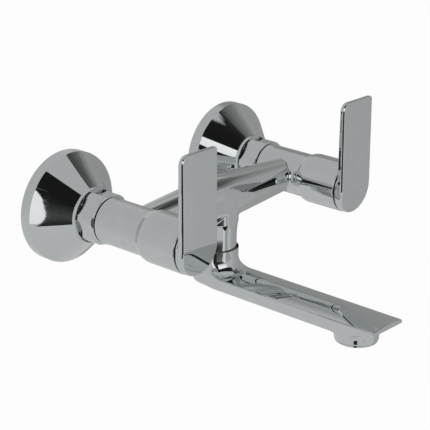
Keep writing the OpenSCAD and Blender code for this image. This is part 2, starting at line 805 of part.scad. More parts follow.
// Threaded housing of the aerator, with the rim that shows
module aerator_housing() {
    outer_r = aerator_d / 2;
    bore_r = outer_r - aerator_wall;
    edge = 0.3;
    color(chrome) at_neck() translate([0, -boss_at, 0]) rotate_extrude() polygon([
        [bore_r - aerator_lip, aerator_bottom], [aerator_rim_r - edge, aerator_bottom],
        [aerator_rim_r, aerator_bottom + edge], [aerator_rim_r, boss_bottom - seat_gap],
        [outer_r, boss_bottom - seat_gap], [outer_r, aerator_top], [bore_r, aerator_top],
        [bore_r, boss_bottom], [bore_r - aerator_lip, boss_bottom]
    ]);
}

// Plastic flow straightener: a short plug with a grid of square holes
module aerator_insert() {
    r = aerator_d / 2 - aerator_wall - fixed_fit;
    bottom = boss_bottom + seat_gap;
    color(polymer) at_neck() translate([0, -boss_at, 0]) difference() {
        rod(r, bottom, bottom + insert_h);
        for (i = [-insert_reach : insert_reach], j = [-insert_reach : insert_reach])
            if (norm([i, j]) * insert_pitch + insert_hole < r)
                translate([i * insert_pitch, j * insert_pitch, bottom - over])
                    linear_extrude(insert_h + 2 * over) square(insert_hole, center = true);
    }
}

// Rubber ring above the aerator
module aerator_seal()
    color(rubber) at_neck() translate([0, -boss_at, 0])
        ring(aerator_d / 2 - fixed_fit, aerator_seal_bore_r, aerator_top + seat_gap,
             aerator_top + seat_gap + aerator_seal_t);

wall_flange(HOT);  // hot_wall_flange
eccentric_leg(HOT);  // hot_eccentric_leg
union_nut(HOT);  // hot_union_nut
union_washer(HOT);  // hot_union_washer
inlet_tail(HOT);  // hot_inlet_tail
bonnet_sleeve(HOT);  // hot_bonnet_sleeve
bonnet_washer(HOT);  // hot_bonnet_washer
cartridge_body(HOT);  // hot_cartridge_body
spindle(HOT);  // hot_spindle
spindle_oring(HOT);  // hot_spindle_oring
spindle_clip(HOT);  // hot_spindle_clip
moving_disc(HOT);  // hot_moving_disc
fixed_disc(HOT);  // hot_fixed_disc
seat_seal(HOT);  // hot_seat_seal
lever(HOT);  // hot_lever
lever_screw(HOT);  // hot_lever_screw
wall_flange(COLD);  // cold_wall_flange
eccentric_leg(COLD);  // cold_eccentric_leg
union_nut(COLD);  // cold_union_nut
union_washer(COLD);  // cold_union_washer
inlet_tail(COLD);  // cold_inlet_tail
bonnet_sleeve(COLD);  // cold_bonnet_sleeve
bonnet_washer(COLD);  // cold_bonnet_washer
cartridge_body(COLD);  // cold_cartridge_body
spindle(COLD);  // cold_spindle
spindle_oring(COLD);  // cold_spindle_oring
spindle_clip(COLD);  // cold_spindle_clip
moving_disc(COLD);  // cold_moving_disc
fixed_disc(COLD);  // cold_fixed_disc
seat_seal(COLD);  // cold_seat_seal
lever(COLD);  // cold_lever
lever_screw(COLD);  // cold_lever_screw
mixer_body();
neck_screw();
slide_ring();
swivel_nipple();
swivel_orings();
spout();
aerator_housing();
aerator_insert();
aerator_seal();
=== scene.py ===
"""Looks of a wall-mounted two-handle mixer tap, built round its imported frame.

Every length is in metres, in the frame's own axes: X towards the cold side, Y into the wall,
Z up. "Out" is a distance from the wall along a valve's own axis, which is minus Y.
"""

import json
import math

import bmesh
import bpy
import numpy as np
from bpy.props import FloatProperty, FloatVectorProperty, IntProperty, PointerProperty
from mathutils import Matrix, Vector


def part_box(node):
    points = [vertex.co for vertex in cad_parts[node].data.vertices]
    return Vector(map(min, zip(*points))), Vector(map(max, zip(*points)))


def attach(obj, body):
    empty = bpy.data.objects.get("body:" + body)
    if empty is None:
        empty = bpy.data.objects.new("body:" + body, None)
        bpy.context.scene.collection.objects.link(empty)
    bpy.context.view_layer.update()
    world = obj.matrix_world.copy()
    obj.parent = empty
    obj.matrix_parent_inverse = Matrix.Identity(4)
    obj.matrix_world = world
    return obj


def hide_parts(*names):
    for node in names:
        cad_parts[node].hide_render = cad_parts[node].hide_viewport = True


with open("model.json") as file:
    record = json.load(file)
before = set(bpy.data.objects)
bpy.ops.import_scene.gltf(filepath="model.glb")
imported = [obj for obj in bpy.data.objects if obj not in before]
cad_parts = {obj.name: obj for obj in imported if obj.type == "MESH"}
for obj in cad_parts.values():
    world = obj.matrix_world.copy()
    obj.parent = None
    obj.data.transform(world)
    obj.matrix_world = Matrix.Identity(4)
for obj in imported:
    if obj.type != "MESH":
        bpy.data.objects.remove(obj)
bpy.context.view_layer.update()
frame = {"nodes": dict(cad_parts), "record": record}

bl_info = {
    "name": "Wall mixer looks",
    "version": (1, 0, 0),
    "blender": (4, 5, 0),
    "location": "View3D > Sidebar > Mixer",
    "description": "Builds the castings, levers, spout, fittings and finishes of a wall mixer",
    "category": "Object",
}

SIDES = {"hot": -1.0, "cold": 1.0}  # Which way each side lies along X
TINY = 1e-9  # Keeps a radius or a length off zero
CLEARANCE = 0.00005  # Between the casting, its noses and the sleeves
ON_CUT = 1e-7  # How near to a cut a point counts as lying on it
MARGIN = 3  # Cells of empty lattice round a casting
PROBE = 2e-7  # How far to each side a distance is read to find its slope
NEWTON_STEPS = 6  # Steps that put a lattice surface's points on it
LEAST_SLOPE = 0.1  # Keeps a Newton step short where a distance is nearly flat
PARALLEL = 0.999  # Cosine past which two surfaces count as parallel
ARC_STEPS = 6  # Steps of an arc in a turned outline
HIDDEN_COLUMNS = 96  # Faces round a turned piece that is hardly seen
THREAD_ROWS = 10  # Rows of faces along one turn of a thread
FLATS = 6  # Sides of a nut
CORNER_STEPS = 4  # Steps round a nut's turned-down corner
NUT_SHARP = 8.0  # Degrees past which a nut shades flat
NUT_BEVELLED = 12.0  # Degrees past which a nut's edge is bevelled
NUT_BEVEL_STEPS = 3  # Faces across such a bevel
LEG_SHARP = 40.0  # Degrees past which a leg shades flat
LEG_CELL = 0.0007  # Spacing of the lattice that a leg's core is found on
NOISE_SPAN = (0.3, 0.7)  # Where nearly all of a noise pattern lies
TONE_STOPS = (0.35, 0.65)  # Where a mottled colour is darkest and lightest


def low(node):
    """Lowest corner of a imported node, as an array."""
    return np.array(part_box(node)[0])


def high(node):
    """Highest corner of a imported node, as an array."""
    return np.array(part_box(node)[1])


# Places that the new pieces share with the frame
INLET_X = float(low("cold_wall_flange")[0] + high("cold_wall_flange")[0]) / 2
NECK_Y = float(low("slide_ring")[1] + high("slide_ring")[1]) / 2
BODY_BACK = -float(high("mixer_body")[1])
NOSE_FRONT = -float(low("mixer_body")[1])
NECK_BOTTOM = float(low("mixer_body")[2])
SLEEVE_BACK = -float(high("cold_bonnet_sleeve")[1])
SLEEVE_FRONT = -float(low("cold_bonnet_sleeve")[1])
LEVER_BOSS_BACK = -float(high("cold_lever")[1])
LEVER_FRONT = -float(low("cold_lever")[1])
LEVER_TOP = float(high("cold_lever")[2])
COLLAR_TOP = float(high("spout")[2])
BOSS_BOTTOM = float(low("spout")[2])
SPOUT_TIP = NECK_Y - float(low("spout")[1])
BOSS_AT = NECK_Y - float(low("aerator_housing")[1] + high("aerator_housing")[1]) / 2
AERATOR_SEAL_TOP = float(high("aerator_seal")[2])
NIPPLE_BOTTOM = float(low("swivel_nipple")[2])
NECK_SCREW_Z = float(low("neck_screw")[2] + high("neck_screw")[2]) / 2
LEVER_SCREW_OUT = -float(low("cold_lever_screw")[1] + high("cold_lever_screw")[1]) / 2
NUT_BACK = -float(high("cold_union_nut")[1])
NUT_FRONT = -float(low("cold_union_nut")[1])
LEG_BACK = -float(high("cold_eccentric_leg")[1])
LEG_FRONT = -float(low("cold_eccentric_leg")[1])


def length(name, description, default):
    """A property that holds a length in metres."""
    return FloatProperty(
        name=name, description=description, default=default, unit="LENGTH", precision=5
    )


def angle(name, description, degrees):
    """A property that holds an angle, whose default is given in degrees."""
    return FloatProperty(
        name=name, description=description, default=math.radians(degrees), subtype="ANGLE"
    )


def amount(name, description, default):
    """A property that holds a plain number."""
    return FloatProperty(name=name, description=description, default=default)


def colour(name, description, default):
    """A property that holds a colour as linear values."""
    return FloatVectorProperty(
        name=name, description=description, default=default, subtype="COLOR"
    )


class CastingSizes(bpy.types.PropertyGroup):
    """Sizes of the one casting: two valve bodies, the crossbar and the neck."""

    cell: length("Cell", "Spacing of the lattice that the surface is found on", 0.0007)
    collar_r: length("Collar radius", "Radius of the collar behind a valve body", 0.0148)
    collar_inset: length("Collar inset", "How far past the packed body's back it begins", 0.0015)
    collar_len: length("Collar length", "Length of that collar", 0.0022)
    chamfer: length("Chamfer length", "Length of the chamfer in front of the collar", 0.003)
    waist_r: length("Waist radius", "Radius of a valve body", 0.0143)
    nose_r: length("Nose radius", "Radius of the nose inside the sleeve", 0.0132)
    nose_edge: length("Nose edge", "Radius of the nose's edges", 0.0002)
    bar_mid_r: length("Crossbar middle", "Radius of the crossbar at its middle", 0.0149)
    bar_end_r: length("Crossbar end", "Radius of the crossbar at a valve body", 0.011)
    bar_crown: amount("Crown", "Softness of the crossbar's middle", 0.12)
    neck_r: length("Neck radius", "Radius of the neck at its lower face", 0.0133)
    neck_inset: length("Neck inset", "How much narrower than the crossbar it ends", 0.0006)
    neck_rise: length("Neck rise", "Height over which the neck widens", 0.018)
    fillet: length("Bar fillet", "Fillet between the crossbar and a valve body", 0.003)
    neck_fillet: length("Neck fillet", "Fillet between the crossbar and the neck", 0.003)
    collar_fillet: length("Collar fillet", "Fillet in front of the collar's chamfer", 0.0015)
    edge: length("Edge", "Radius of the casting's small edges", 0.0004)
    channel_r: length("Channel", "Radius of the water channels", 0.006)
    chamber_r: length("Chamber", "Radius of the chamber round a cartridge", 0.0094)
    thread_r: length("Thread", "Radius of the cartridge thread's bore", 0.01045)
    neck_bore_r: length("Neck bore", "Radius of the bore that the nipple turns in", 0.00951)
    neck_bore_len: length("Neck bore length", "How far that bore reaches up", 0.019)
    seat_depth: length("Disc seat", "How far past the packed body's back the chamber begins", 0.009)
    thread_len: length("Thread length", "Length of the cartridge's thread", 0.011)
    waist_inset: length("Waist inset", "How far inside the collar the waist begins", 0.002)
    screw_r: length("Screw hole", "Radius of the retaining screw's hole", 0.00205)


class LeverSizes(bpy.types.PropertyGroup):
    """Sizes of a lever."""

    cell: length("Cell", "Spacing of the lattice that the surface is found on", 0.00045)
    half_width: length("Half width", "Half the width of the plate", 0.015)
    round_corner: length("Left corner", "Radius of the upper left corner", 0.0052)
    tight_corner: length("Right corner", "Radius of the upper right corner", 0.002)
    plate: length("Plate", "Thickness of the plate at the crease", 0.004)
    hub: length("Hub", "Thickness of the lever at its hub", 0.0061)
    hub_drop: length("Hub drop", "How far the round end is centred below the axis", 0.001)
    crease: length("Crease", "Height of the crease above the valve's axis", 0.0015)
    crease_width: length("Crease width", "Half width of the soft crease", 0.0008)
    chin_angle: angle("Chin", "Lean below the crease", 5.6)
    face_angle: angle("Face", "Lean above the crease", 1.1)
    front_edge: length("Front edge", "Radius of the edge round the face", 0.0006)
    back_edge: length("Back edge", "Radius of the edge round the back", 0.0005)
    left_bevel: length("Left bevel", "Depth of the bevel along the face's left edge", 0.0007)
    bevel_edge: length("Bevel edge", "Radius of that bevel's edges", 0.0002)
    bevel_reach: length("Bevel reach", "How far from the edge the bevel starts to fade", 0.002)
    bevel_fade: amount("Bevel fade", "How fast the bevel fades further in", 0.5)
    hub_over: length("Hub overlap", "How much wider the hub is before the outline trims it", 0.0006)
    hub_fillet: length("Hub fillet", "Fillet between the hub and the plate", 0.0012)
    boss_fillet: length("Boss fillet", "Fillet between the boss and the hub", 0.0006)
    boss_inset: length("Boss inset", "How far the boss reaches into the hub", 0.001)
    boss_r: length("Boss radius", "Radius of the boss behind the hub", 0.0085)
    socket_r: length("Socket radius", "Radius of the socket for the spindle", 0.00395)
    face_left: length("Socket cover", "Metal left between the socket and the face", 0.0027)
    screw_r: length("Screw hole", "Radius of the grub screw's hole", 0.00155)
    screw_stop: length("Screw stop", "How far below the axis that hole ends", 0.002)


class SpoutSizes(bpy.types.PropertyGroup):
    """Sizes of the spout."""

    cell: length("Cell", "Spacing of the lattice that the surface is found on", 0.0005)
    half_width: length("Half width", "Half the width of the spout", 0.0147)
    top: length("Top", "Level of the upper face's long edges", -0.04715)
    thickness: length("Thickness", "Thickness of the bar at its long edges", 0.008)
    crown_r: length("Crown", "Radius of the upper face's slight crown", 0.088)
    tip: length("Tip thickness", "Thickness at the tip", 0.0022)
    collar_fillet: length("Collar fillet", "Fillet between the collar and the bar", 0.009)
    boss_r: length("Boss radius", "Radius of the boss round the aerator", 0.0136)
    boss_fillet: length("Boss fillet", "Fillet between the boss and the underside", 0.004)
    edge: length("Edge", "Radius of the long edges", 0.0009)
    collar_edge: length("Collar edge", "Radius of the collar's upper edge", 0.0003)
    heel: length("Heel", "Radius of the lower edge at the rear", 0.003)
    heel_len: length("Heel length", "Length over which the lower edge grows", 0.012)
    collar_root: length("Collar root", "How far the collar reaches down into the bar", 0.003)
    wall: length("Wall", "Wall above and below the channel", 0.0015)
    channel_half: length("Channel", "Half the width of the channel", 0.0095)
    nipple_r: length("Nipple thread", "Radius of the bore for the nipple's thread", 0.00855)
    nipple_bore_r: length("Nipple bore", "Radius of the bore under it", 0.0055)
    aerator_r: length("Aerator bore", "Radius of the bore for the aerator", 0.01205)
    seal_ledge: length("Seal ledge", "Width of the ledge above the aerator's seal", 0.00235)


class FittingSizes(bpy.types.PropertyGroup):
    """Sizes of the flanges, nuts, sleeves and threaded legs."""

    flange_r: length("Flange radius", "Radius of a flange on the wall", 0.0354)
    flange_band: length("Flange band", "Height of the straight band at its rim", 0.0074)
    flange_depth: length("Flange depth", "How far the cone stands out from the wall", 0.027)
    flange_front_r: length("Flange front", "Radius of its small end", 0.0175)
    flange_wall: length("Flange wall", "Thickness of the pressed shell", 0.0013)
    flange_web: length("Flange web", "Thickness of the face in front", 0.0025)
    band_inset: length("Band inset", "How far behind the outer corner the inner one lies", 0.0012)
    rim_edge: length("Rim edge", "Radius of the flange's edge on the wall", 0.0003)
    rim_round: length("Rim round", "Radius between the band and the cone", 0.0011)
    rim_inner: length("Rim inside", "Radius between them on the inside", 0.001)
    cone_round: length("Cone round", "Radius between the cone and the lip", 0.001)
    cone_inner: length("Cone inside", "Radius inside the cone's small end", 0.0008)
    small_edge: length("Small edge", "Radius of a small turned edge", 0.0002)
    fine_edge: length("Fine edge", "Radius of an edge that looks sharp", 0.0001)
    flange_lip: length("Flange lip", "Height of the lip round the nut", 0.0018)
    flange_lip_wall: length("Lip wall", "Wall of that lip", 0.0008)
    flange_hole_r: length("Flange hole", "Radius of the hole for the leg", 0.01327)
    nut_half: length("Nut flats", "Half the size across the nut's flats", 0.015)
    nut_turned: length("Nut corners", "How much the nut's corners are turned down", 0.0009)
    nut_edge: length("Nut chamfer", "How far inside the flats the chamfer starts", 0.0002)
    nut_chamfer: angle("Nut chamfer angle", "Angle of the nut's front chamfer", 25)
    nut_turn: angle("Nut turn", "Turn of the hexagon", 20)
    nut_bevel: length("Nut bevel", "Width of the bevel on the nut's edges", 0.00018)
    nut_bore_r: length("Nut bore", "Radius of the nut's thread", 0.01327)
    nut_over: length("Nut overlap", "How far the nut reaches past the packed one's front", 0.0012)
    nut_lip: length("Nut lip", "Thickness of the packed nut's lip, which pulls on the tail", 0.003)
    nut_lip_r: length("Nut lip radius", "Radius of the hole in that lip", 0.0108)
    sleeve_r: length("Sleeve radius", "Outer radius of a sleeve", 0.0163)
    sleeve_band: length("Sleeve band", "Length of the narrow band at its back", 0.001)
    sleeve_hollow: length("Sleeve hollow", "Radius between that band and the cone", 0.0055)
    sleeve_cone: length("Sleeve cone", "How far from its back the cone ends", 0.006)
    sleeve_round: length("Sleeve round", "Radius between the cone and the outside", 0.012)
    sleeve_mouth: length("Sleeve mouth", "Radius of the edge at its front", 0.0005)
    sleeve_step: length("Sleeve step", "How far past the nose it becomes wide inside", 0.0041)
    sleeve_seat: length("Sleeve seat", "Length of the cone inside it", 0.001)
    sleeve_wall: length("Sleeve wall", "Wall of the sleeve", 0.0015)
    leg_offset: length("Leg offset", "How far the wall thread sits below the axis", 0.006)
    leg_shoulder: length("Leg shoulder", "Where the web starts, out from the wall", 0.003)
    leg_web: length("Leg web", "Thickness of the web", 0.006)
    leg_rim: length("Leg rim", "How far the web stands round the wall thread", 0.001)
    leg_bore_r: length("Leg bore", "Radius of the water bore", 0.007)
    wall_thread_r: length("Wall thread", "Outer radius of the wall thread", 0.0104775)
    union_thread_r: length("Union thread", "Outer radius of the union thread", 0.0132205)
    pitch: length("Pitch", "Pitch of both pipe threads", 0.001814)
    thread_depth: length("Thread depth", "Depth of both pipe threads", 0.001162)
    thread_start: length("Thread start", "Height of a thread at its very end", 0.0002)
    root_gap: length("Root gap", "How far a leg's core stays under the thread", 0.0001)
    wall_lap: length("Wall thread lap", "How far the wall thread enters the web", 0.0003)
    union_gap: length("Union thread gap", "How far past the web the union thread starts", 0.0004)
    union_bore: length("Union bore", "How much wider than the water bore its tube is", 0.001)
    bore_stop: length("Bore stop", "How far each bore ends before the web's other face", 0.001)
    leg_edge: length("Leg edge", "Radius of a leg's edges", 0.0004)
    columns: IntProperty(name="Columns", description="Faces round a turned piece", default=192)


class Finishes(bpy.types.PropertyGroup):
    """Colours of the finishes, as linear values."""

    chrome: colour("Chrome", "Colour that polished chrome reflects", (0.68, 0.705, 0.71))
    brass: colour("Brass", "Colour of turned brass", (0.60, 0.40, 0.13))
    steel: colour("Steel", "Colour of the screws and clips", (0.33, 0.34, 0.35))
    ceramic: colour("Ceramic", "Colour of the ceramic discs", (0.84, 0.82, 0.77))
    rubber: colour("Rubber", "Colour of the seals", (0.012, 0.012, 0.014))
    fibre: colour("Fibre", "Colour of the fibre washers", (0.09, 0.075, 0.065))
    polymer: colour(
        "Polymer", "Colour of the slide ring and the flow straightener", (0.55, 0.56, 0.55)
    )


class StageSettings(bpy.types.PropertyGroup):
    """Camera, floor and light."""

    azimuth: angle("Azimuth", "Camera's turn round the mixer", -48.815)
    elevation: angle("Elevation", "Camera's angle above the level", 20.123)
    roll: angle("Roll", "Camera's roll", 0.899)
    place: FloatVectorProperty(
        name="Place", description="Where the camera stands",
        default=(-0.683312, -0.657974, 0.320861), subtype="TRANSLATION", precision=6,
    )
    lens: amount("Lens", "Focal length in millimetres", 127.18)
    sensor: amount("Sensor", "Width of the camera's sensor in millimetres", 36.0)
    nearest: length("Nearest", "Distance from which the camera sees", 0.05)
    farthest: length("Farthest", "Distance to which the camera sees", 50.0)
    floor_z: length("Floor", "Level of the floor", -1.0)
    floor_half: length("Floor size", "Half the side of the floor", 12.0)
    card_reach: length("Card distance", "How far the farthest card stands", 0.999)
    card_step: length("Card step", "How much nearer each next card stands", 0.001)
    card_grain: amount("Card grain", "Degrees between a card's points", 0.75)
    floor_tone: colour("Floor tone", "Colour of the floor", (0.86, 0.86, 0.86))
    floor_white: amount("Floor white", "Share of plain white where a ray sees it", 0.9)
    world_light: amount("World light", "Strength of the world's soft light", 0.9)


# The studio's cards, which only reflections see: painted reflections, glowing and dark patches on
# the chrome that light nothing and cast no shadow. They run from the farthest to the nearest. A
# card is spanned by the lines in its list, each from one point to another, and a point has an
# azimuth and an elevation in degrees and a brightness. The number after the list is the width of
# the card's soft edge. Azimuth runs from minus Y towards X.
CARDS = {
    "studio_paper": ((
        ((-180, -90, 0.58), (180, -90, 0.58)), ((-180, -28, 0.61), (180, -28, 0.61)),
        ((-180, 0, 0.56), (180, 0, 0.56)), ((-180, 52, 0.53), (180, 52, 0.53)),
        ((-180, 90, 0.53), (180, 90, 0.53)),
    ), 0),
    "right_paper": ((
        ((33, -50, 0.51), (33, 44, 0.48)), ((50, -50, 0.47), (50, 44, 0.45)),
        ((70, -50, 0.42), (66, 44, 0.43)), ((104, -46, 0.38), (102, 42, 0.36)),
        ((128, -42, 0.3), (128, 38, 0.31)), ((142, -40, 0.3), (142, 36, 0.33)),
    ), 9),
    "left_strip": ((
        ((-70, -24, 0.9), (-56, -24, 1.05)), ((-66, 0, 1.05), (-54, 0, 1.05)),
        ((-62, 28, 1.05), (-48, 28, 1.05)),
    ), 1),
    "window_reflection": ((
        ((-45, 0, 1.0), (-45, 35, 1.1)), ((-20, 1, 1.0), (-20, 35, 1.2)),
        ((2, 2, 0.9), (2, 33, 1.1)),
    ), 2),
    "low_flag": ((
        ((-50, -25, 0.025), (-50, -2, 0.025)), ((-30, -25, 0.03), (-30, -3, 0.03)),
        ((-8, -25, 0.1), (-8, -4, 0.13)),
    ), 2),
    "side_flag": ((
        ((-60.5, -28, 0.02), (-43, -28, 0.02)), ((-59.75, -22, 0.03), (-43, -22, 0.02)),
        ((-58.8, -13.4, 0.06), (-43, -13, 0.02)), ((-57.8, -4.8, 0.07), (-42.5, -4, 0.02)),
        ((-56.6, 3.9, 0.05), (-42, 4, 0.015)), ((-55, 12.5, 0.03), (-42, 12.5, 0.012)),
        ((-52.9, 21, 0.015), (-42, 21, 0.012)), ((-50.6, 30, 0.012), (-42, 35, 0.012)),
    ), 0),
    "grey_banner": ((
        ((36, 44, 0.3), (36, 58.9, 0.03)), ((50, 44, 0.34), (50, 58.5, 0.03)),
        ((62, 38, 0.36), (64, 59, 0.03)), ((78, 31, 0.36), (74, 59, 0.03)),
        ((94, 27, 0.4), (90, 58, 0.05)), ((112, 30, 0.4), (112, 58, 0.15)),
    ), 2),
    "top_flag": ((
        ((64, 52, 0.08), (64, 59, 0.04)), ((78, 42, 0.17), (80, 59, 0.02)),
        ((92, 34.5, 0.17), (96, 58, 0.07)), ((106, 36, 0.22), (106, 58, 0.11)),
        ((120, 40, 0.32), (120, 58, 0.26)),
    ), 3),
    "black_banner": ((
        ((-57, 28, 0.012), (-57, 54.2, 0.012)), ((-42, 33, 0.012), (-40, 55.2, 0.012)),
        ((-32, 32.3, 0.012), (-21.5, 55.9, 0.012)), ((-10, 29.5, 0.014), (9.4, 58.9, 0.014)),
        ((22, 29.5, 0.02), (28, 59.6, 0.018)), ((34, 35, 0.03), (37, 58.8, 0.025)),
        ((42, 46, 0.08), (46, 58.2, 0.04)),
    ), 0.5),
}


GROUPS = {
    "mixer_casting": CastingSizes,
    "mixer_lever": LeverSizes,
    "mixer_spout": SpoutSizes,
    "mixer_fittings": FittingSizes,
    "mixer_finishes": Finishes,
    "mixer_stage": StageSettings,
}


# Surfaces


def round_corners(corners):
    """Points and outward normals of a closed outline in which each corner becomes an arc.

    Corners are rows of (radius, station, arc radius), running anticlockwise. An arc starts at
    its radius times the tangent of half the turn before the corner. Its normal turns evenly
    from one side's normal to the next one's, and its points lie one arc radius from a centre
    on the inner side of a convex corner or the outer side of a hollow one.
    """
    corners = np.array(corners, float)
    place, arc = corners[:, :2], corners[:, 2:3]
    before = place - np.roll(place, 1, 0)
    after = np.roll(before, -1, 0)
    before /= np.linalg.norm(before, axis=1, keepdims=True)
    after /= np.linalg.norm(after, axis=1, keepdims=True)
    turn = np.arctan2(
        before[:, 0] * after[:, 1] - before[:, 1] * after[:, 0], (before * after).sum(1)
    )
    hand = np.sign(turn)[:, None]
    normal = np.stack([before[:, 1], -before[:, 0]], 1)
    centre = place - before * arc * np.abs(np.tan(turn / 2))[:, None] - hand * arc * normal
    swing = turn[:, None] * np.linspace(0, 1, ARC_STEPS + 1)
    c, s = np.cos(swing), np.sin(swing)
    normals = np.stack(
        [c * normal[:, :1] - s * normal[:, 1:], s * normal[:, :1] + c * normal[:, 1:]], 2
    )
    points = centre[:, None] + (hand * arc)[:, None] * normals
    return points.reshape(-1, 2), normals.reshape(-1, 2)


def wrapped_faces(rows, columns):
    """Quads of a grid that closes on itself both ways."""
    a = np.arange(rows * columns).reshape(rows, columns)
    b = np.roll(a, -1, 0)
    return np.stack([a, b, np.roll(b, -1, 1), np.roll(a, -1, 1)], 2).reshape(-1, 4)


def valve_place(side, drop=0.0):
    """Origin, axis and two cross directions of a valve's axis, or of one that lies lower."""
    origin = np.array([side * INLET_X, 0.0, -drop])
    return origin, np.array([0.0, -1.0, 0.0]), np.array([1.0, 0.0, 0.0]), np.array([0, 0, 1.0])


def turned(corners, place, columns):
    """Points, quads and normals of a turned ring.

    point(row, a) = origin + station * axis + radius * (cos a * first + sin a * second), and
    the outline's normal turns in the same way.
    """
    outline, slope = round_corners(corners)
    origin, axis, first, second = place
    a = np.linspace(0, 2 * math.pi, columns, endpoint=False)[None, :, None]
    radial = np.cos(a) * first + np.sin(a) * second
    points = origin + outline[:, 1, None, None] * axis + outline[:, 0, None, None] * radial
    normals = slope[:, 1, None, None] * axis + slope[:, 0, None, None] * radial
    return points.reshape(-1, 3), wrapped_faces(len(outline), columns), normals.reshape(-1, 3)


def threaded(radius, bore, start, end, place, sizes):
    """Points and quads of a threaded tube.

    The radius falls from the crest by half the thread's depth times one less the cosine of
    the turn plus the climb, 2 pi (out / pitch) - a. Near each end it is held under a 45 degree
    cone, which gives the lead-in.
    """
    origin, axis, first, second = place
    a = np.linspace(0, 2 * math.pi, HIDDEN_COLUMNS, endpoint=False)[None, :]
    out = np.linspace(start, end, int((end - start) / sizes.pitch * THREAD_ROWS))[:, None]
    climb = 2 * math.pi * out / sizes.pitch - a
    crest = radius - sizes.thread_depth / 2 * (1 - np.cos(climb))
    lead = radius - sizes.thread_depth + sizes.thread_start
    lead = lead + np.minimum(out - start, end - out)
    skin = np.minimum(crest, lead)
    flat = np.full((1, HIDDEN_COLUMNS), bore)
    r = np.concatenate([skin, flat, flat])
    s = np.concatenate([np.broadcast_to(out, skin.shape), flat * 0 + end, flat * 0 + start])
    radial = np.cos(a)[..., None] * first + np.sin(a)[..., None] * second
    points = origin + s[..., None] * axis + r[..., None] * radial
    return points.reshape(-1, 3), wrapped_faces(len(r), HIDDEN_COLUMNS)


def hexagonal(place, sizes):
    """Points and quads of a nut that is chamfered in front.

    In each direction the hexagon's radius is half the flats over the cosine of the angle from
    the nearest flat's middle, and no more than the turned-down corner. The chamfer starts on
    a circle just inside the flats and meets that radius where its cone has climbed to it, so
    the curved cusps of a real nut follow from the grid itself.
    """
    origin, axis, first, second = place
    half_turn = math.pi / FLATS
    corner = sizes.nut_half / math.cos(half_turn) - sizes.nut_turned
    cut = math.acos(sizes.nut_half / corner)
    flat = np.linspace(-cut, cut, sizes.columns // FLATS - CORNER_STEPS + 1)
    step = (2 * half_turn - 2 * cut) / CORNER_STEPS
    local = np.concatenate([flat, cut + step * np.arange(1, CORNER_STEPS)])
    near = np.abs((local + half_turn) % (2 * half_turn) - half_turn)
    outer = np.tile(np.minimum(sizes.nut_half / np.cos(near), corner), FLATS)
    turns = np.repeat(2 * half_turn * np.arange(FLATS), len(local))
    a = (turns + np.tile(local, FLATS) + sizes.nut_turn)[None, :, None]
    inner = sizes.nut_half - sizes.nut_edge
    climb = (outer - inner) * math.tan(sizes.nut_chamfer)
    even = np.ones_like(outer)
    lip = NUT_FRONT - sizes.nut_lip
    front = NUT_FRONT + sizes.nut_over
    rows = [
        (outer, NUT_BACK * even), (outer, front - climb), (inner * even, front * even),
        (sizes.nut_lip_r * even, front * even), (sizes.nut_lip_r * even, lip * even),
        (sizes.nut_bore_r * even, lip * even), (sizes.nut_bore_r * even, NUT_BACK * even),
    ]
    r, s = (np.array(part)[..., None] for part in zip(*rows))
    radial = np.cos(a) * first + np.sin(a) * second
    points = origin + s * axis + r * radial
    return points.reshape(-1, 3), wrapped_faces(len(rows), points.shape[1])


# Castings, each found as the zero level of a distance


def rounded_cut(a, b, radius):
    """Distance to what lies inside both a and b, with their shared edge rounded.

    Where both come nearer than the radius, the distance is the length of the two excesses
    less the radius, which is an arc; elsewhere it is the larger of a and b.
    """
    arc = np.hypot(np.maximum(a + radius, 0), np.maximum(b + radius, 0))
    return np.minimum(np.maximum(a, b), -radius) + arc


def filleted_join(a, b, cosine, radius):
    """Distance to the union of a and b, with a ball of that radius rolled along their corner.

    The cosine is of the angle between their outward normals. The ball's centre line lies one
    radius from both, so with p and q the radius less a and b, its distance is the root of
    p p + q q - 2 p q cosine over the sine. Where the foot lies between both normals the value
    is the radius less that distance, and elsewhere the smaller of a and b.
    """
    p, q = radius - a, radius - b
    cosine = np.clip(cosine, -PARALLEL, PARALLEL)
    span = np.sqrt(np.maximum(p * p + q * q - 2 * p * q * cosine, 0) / (1 - cosine * cosine))
    both = (p > cosine * q) & (q > cosine * p) & (p + q > 0)
    return np.where(both, radius - span, np.minimum(a, b))


def drilled(shape, *holes):
    """Distance to a shape with holes taken away, each given by the distance to its plug."""
    for hole in holes:
        shape = np.maximum(shape, -hole)
    return shape


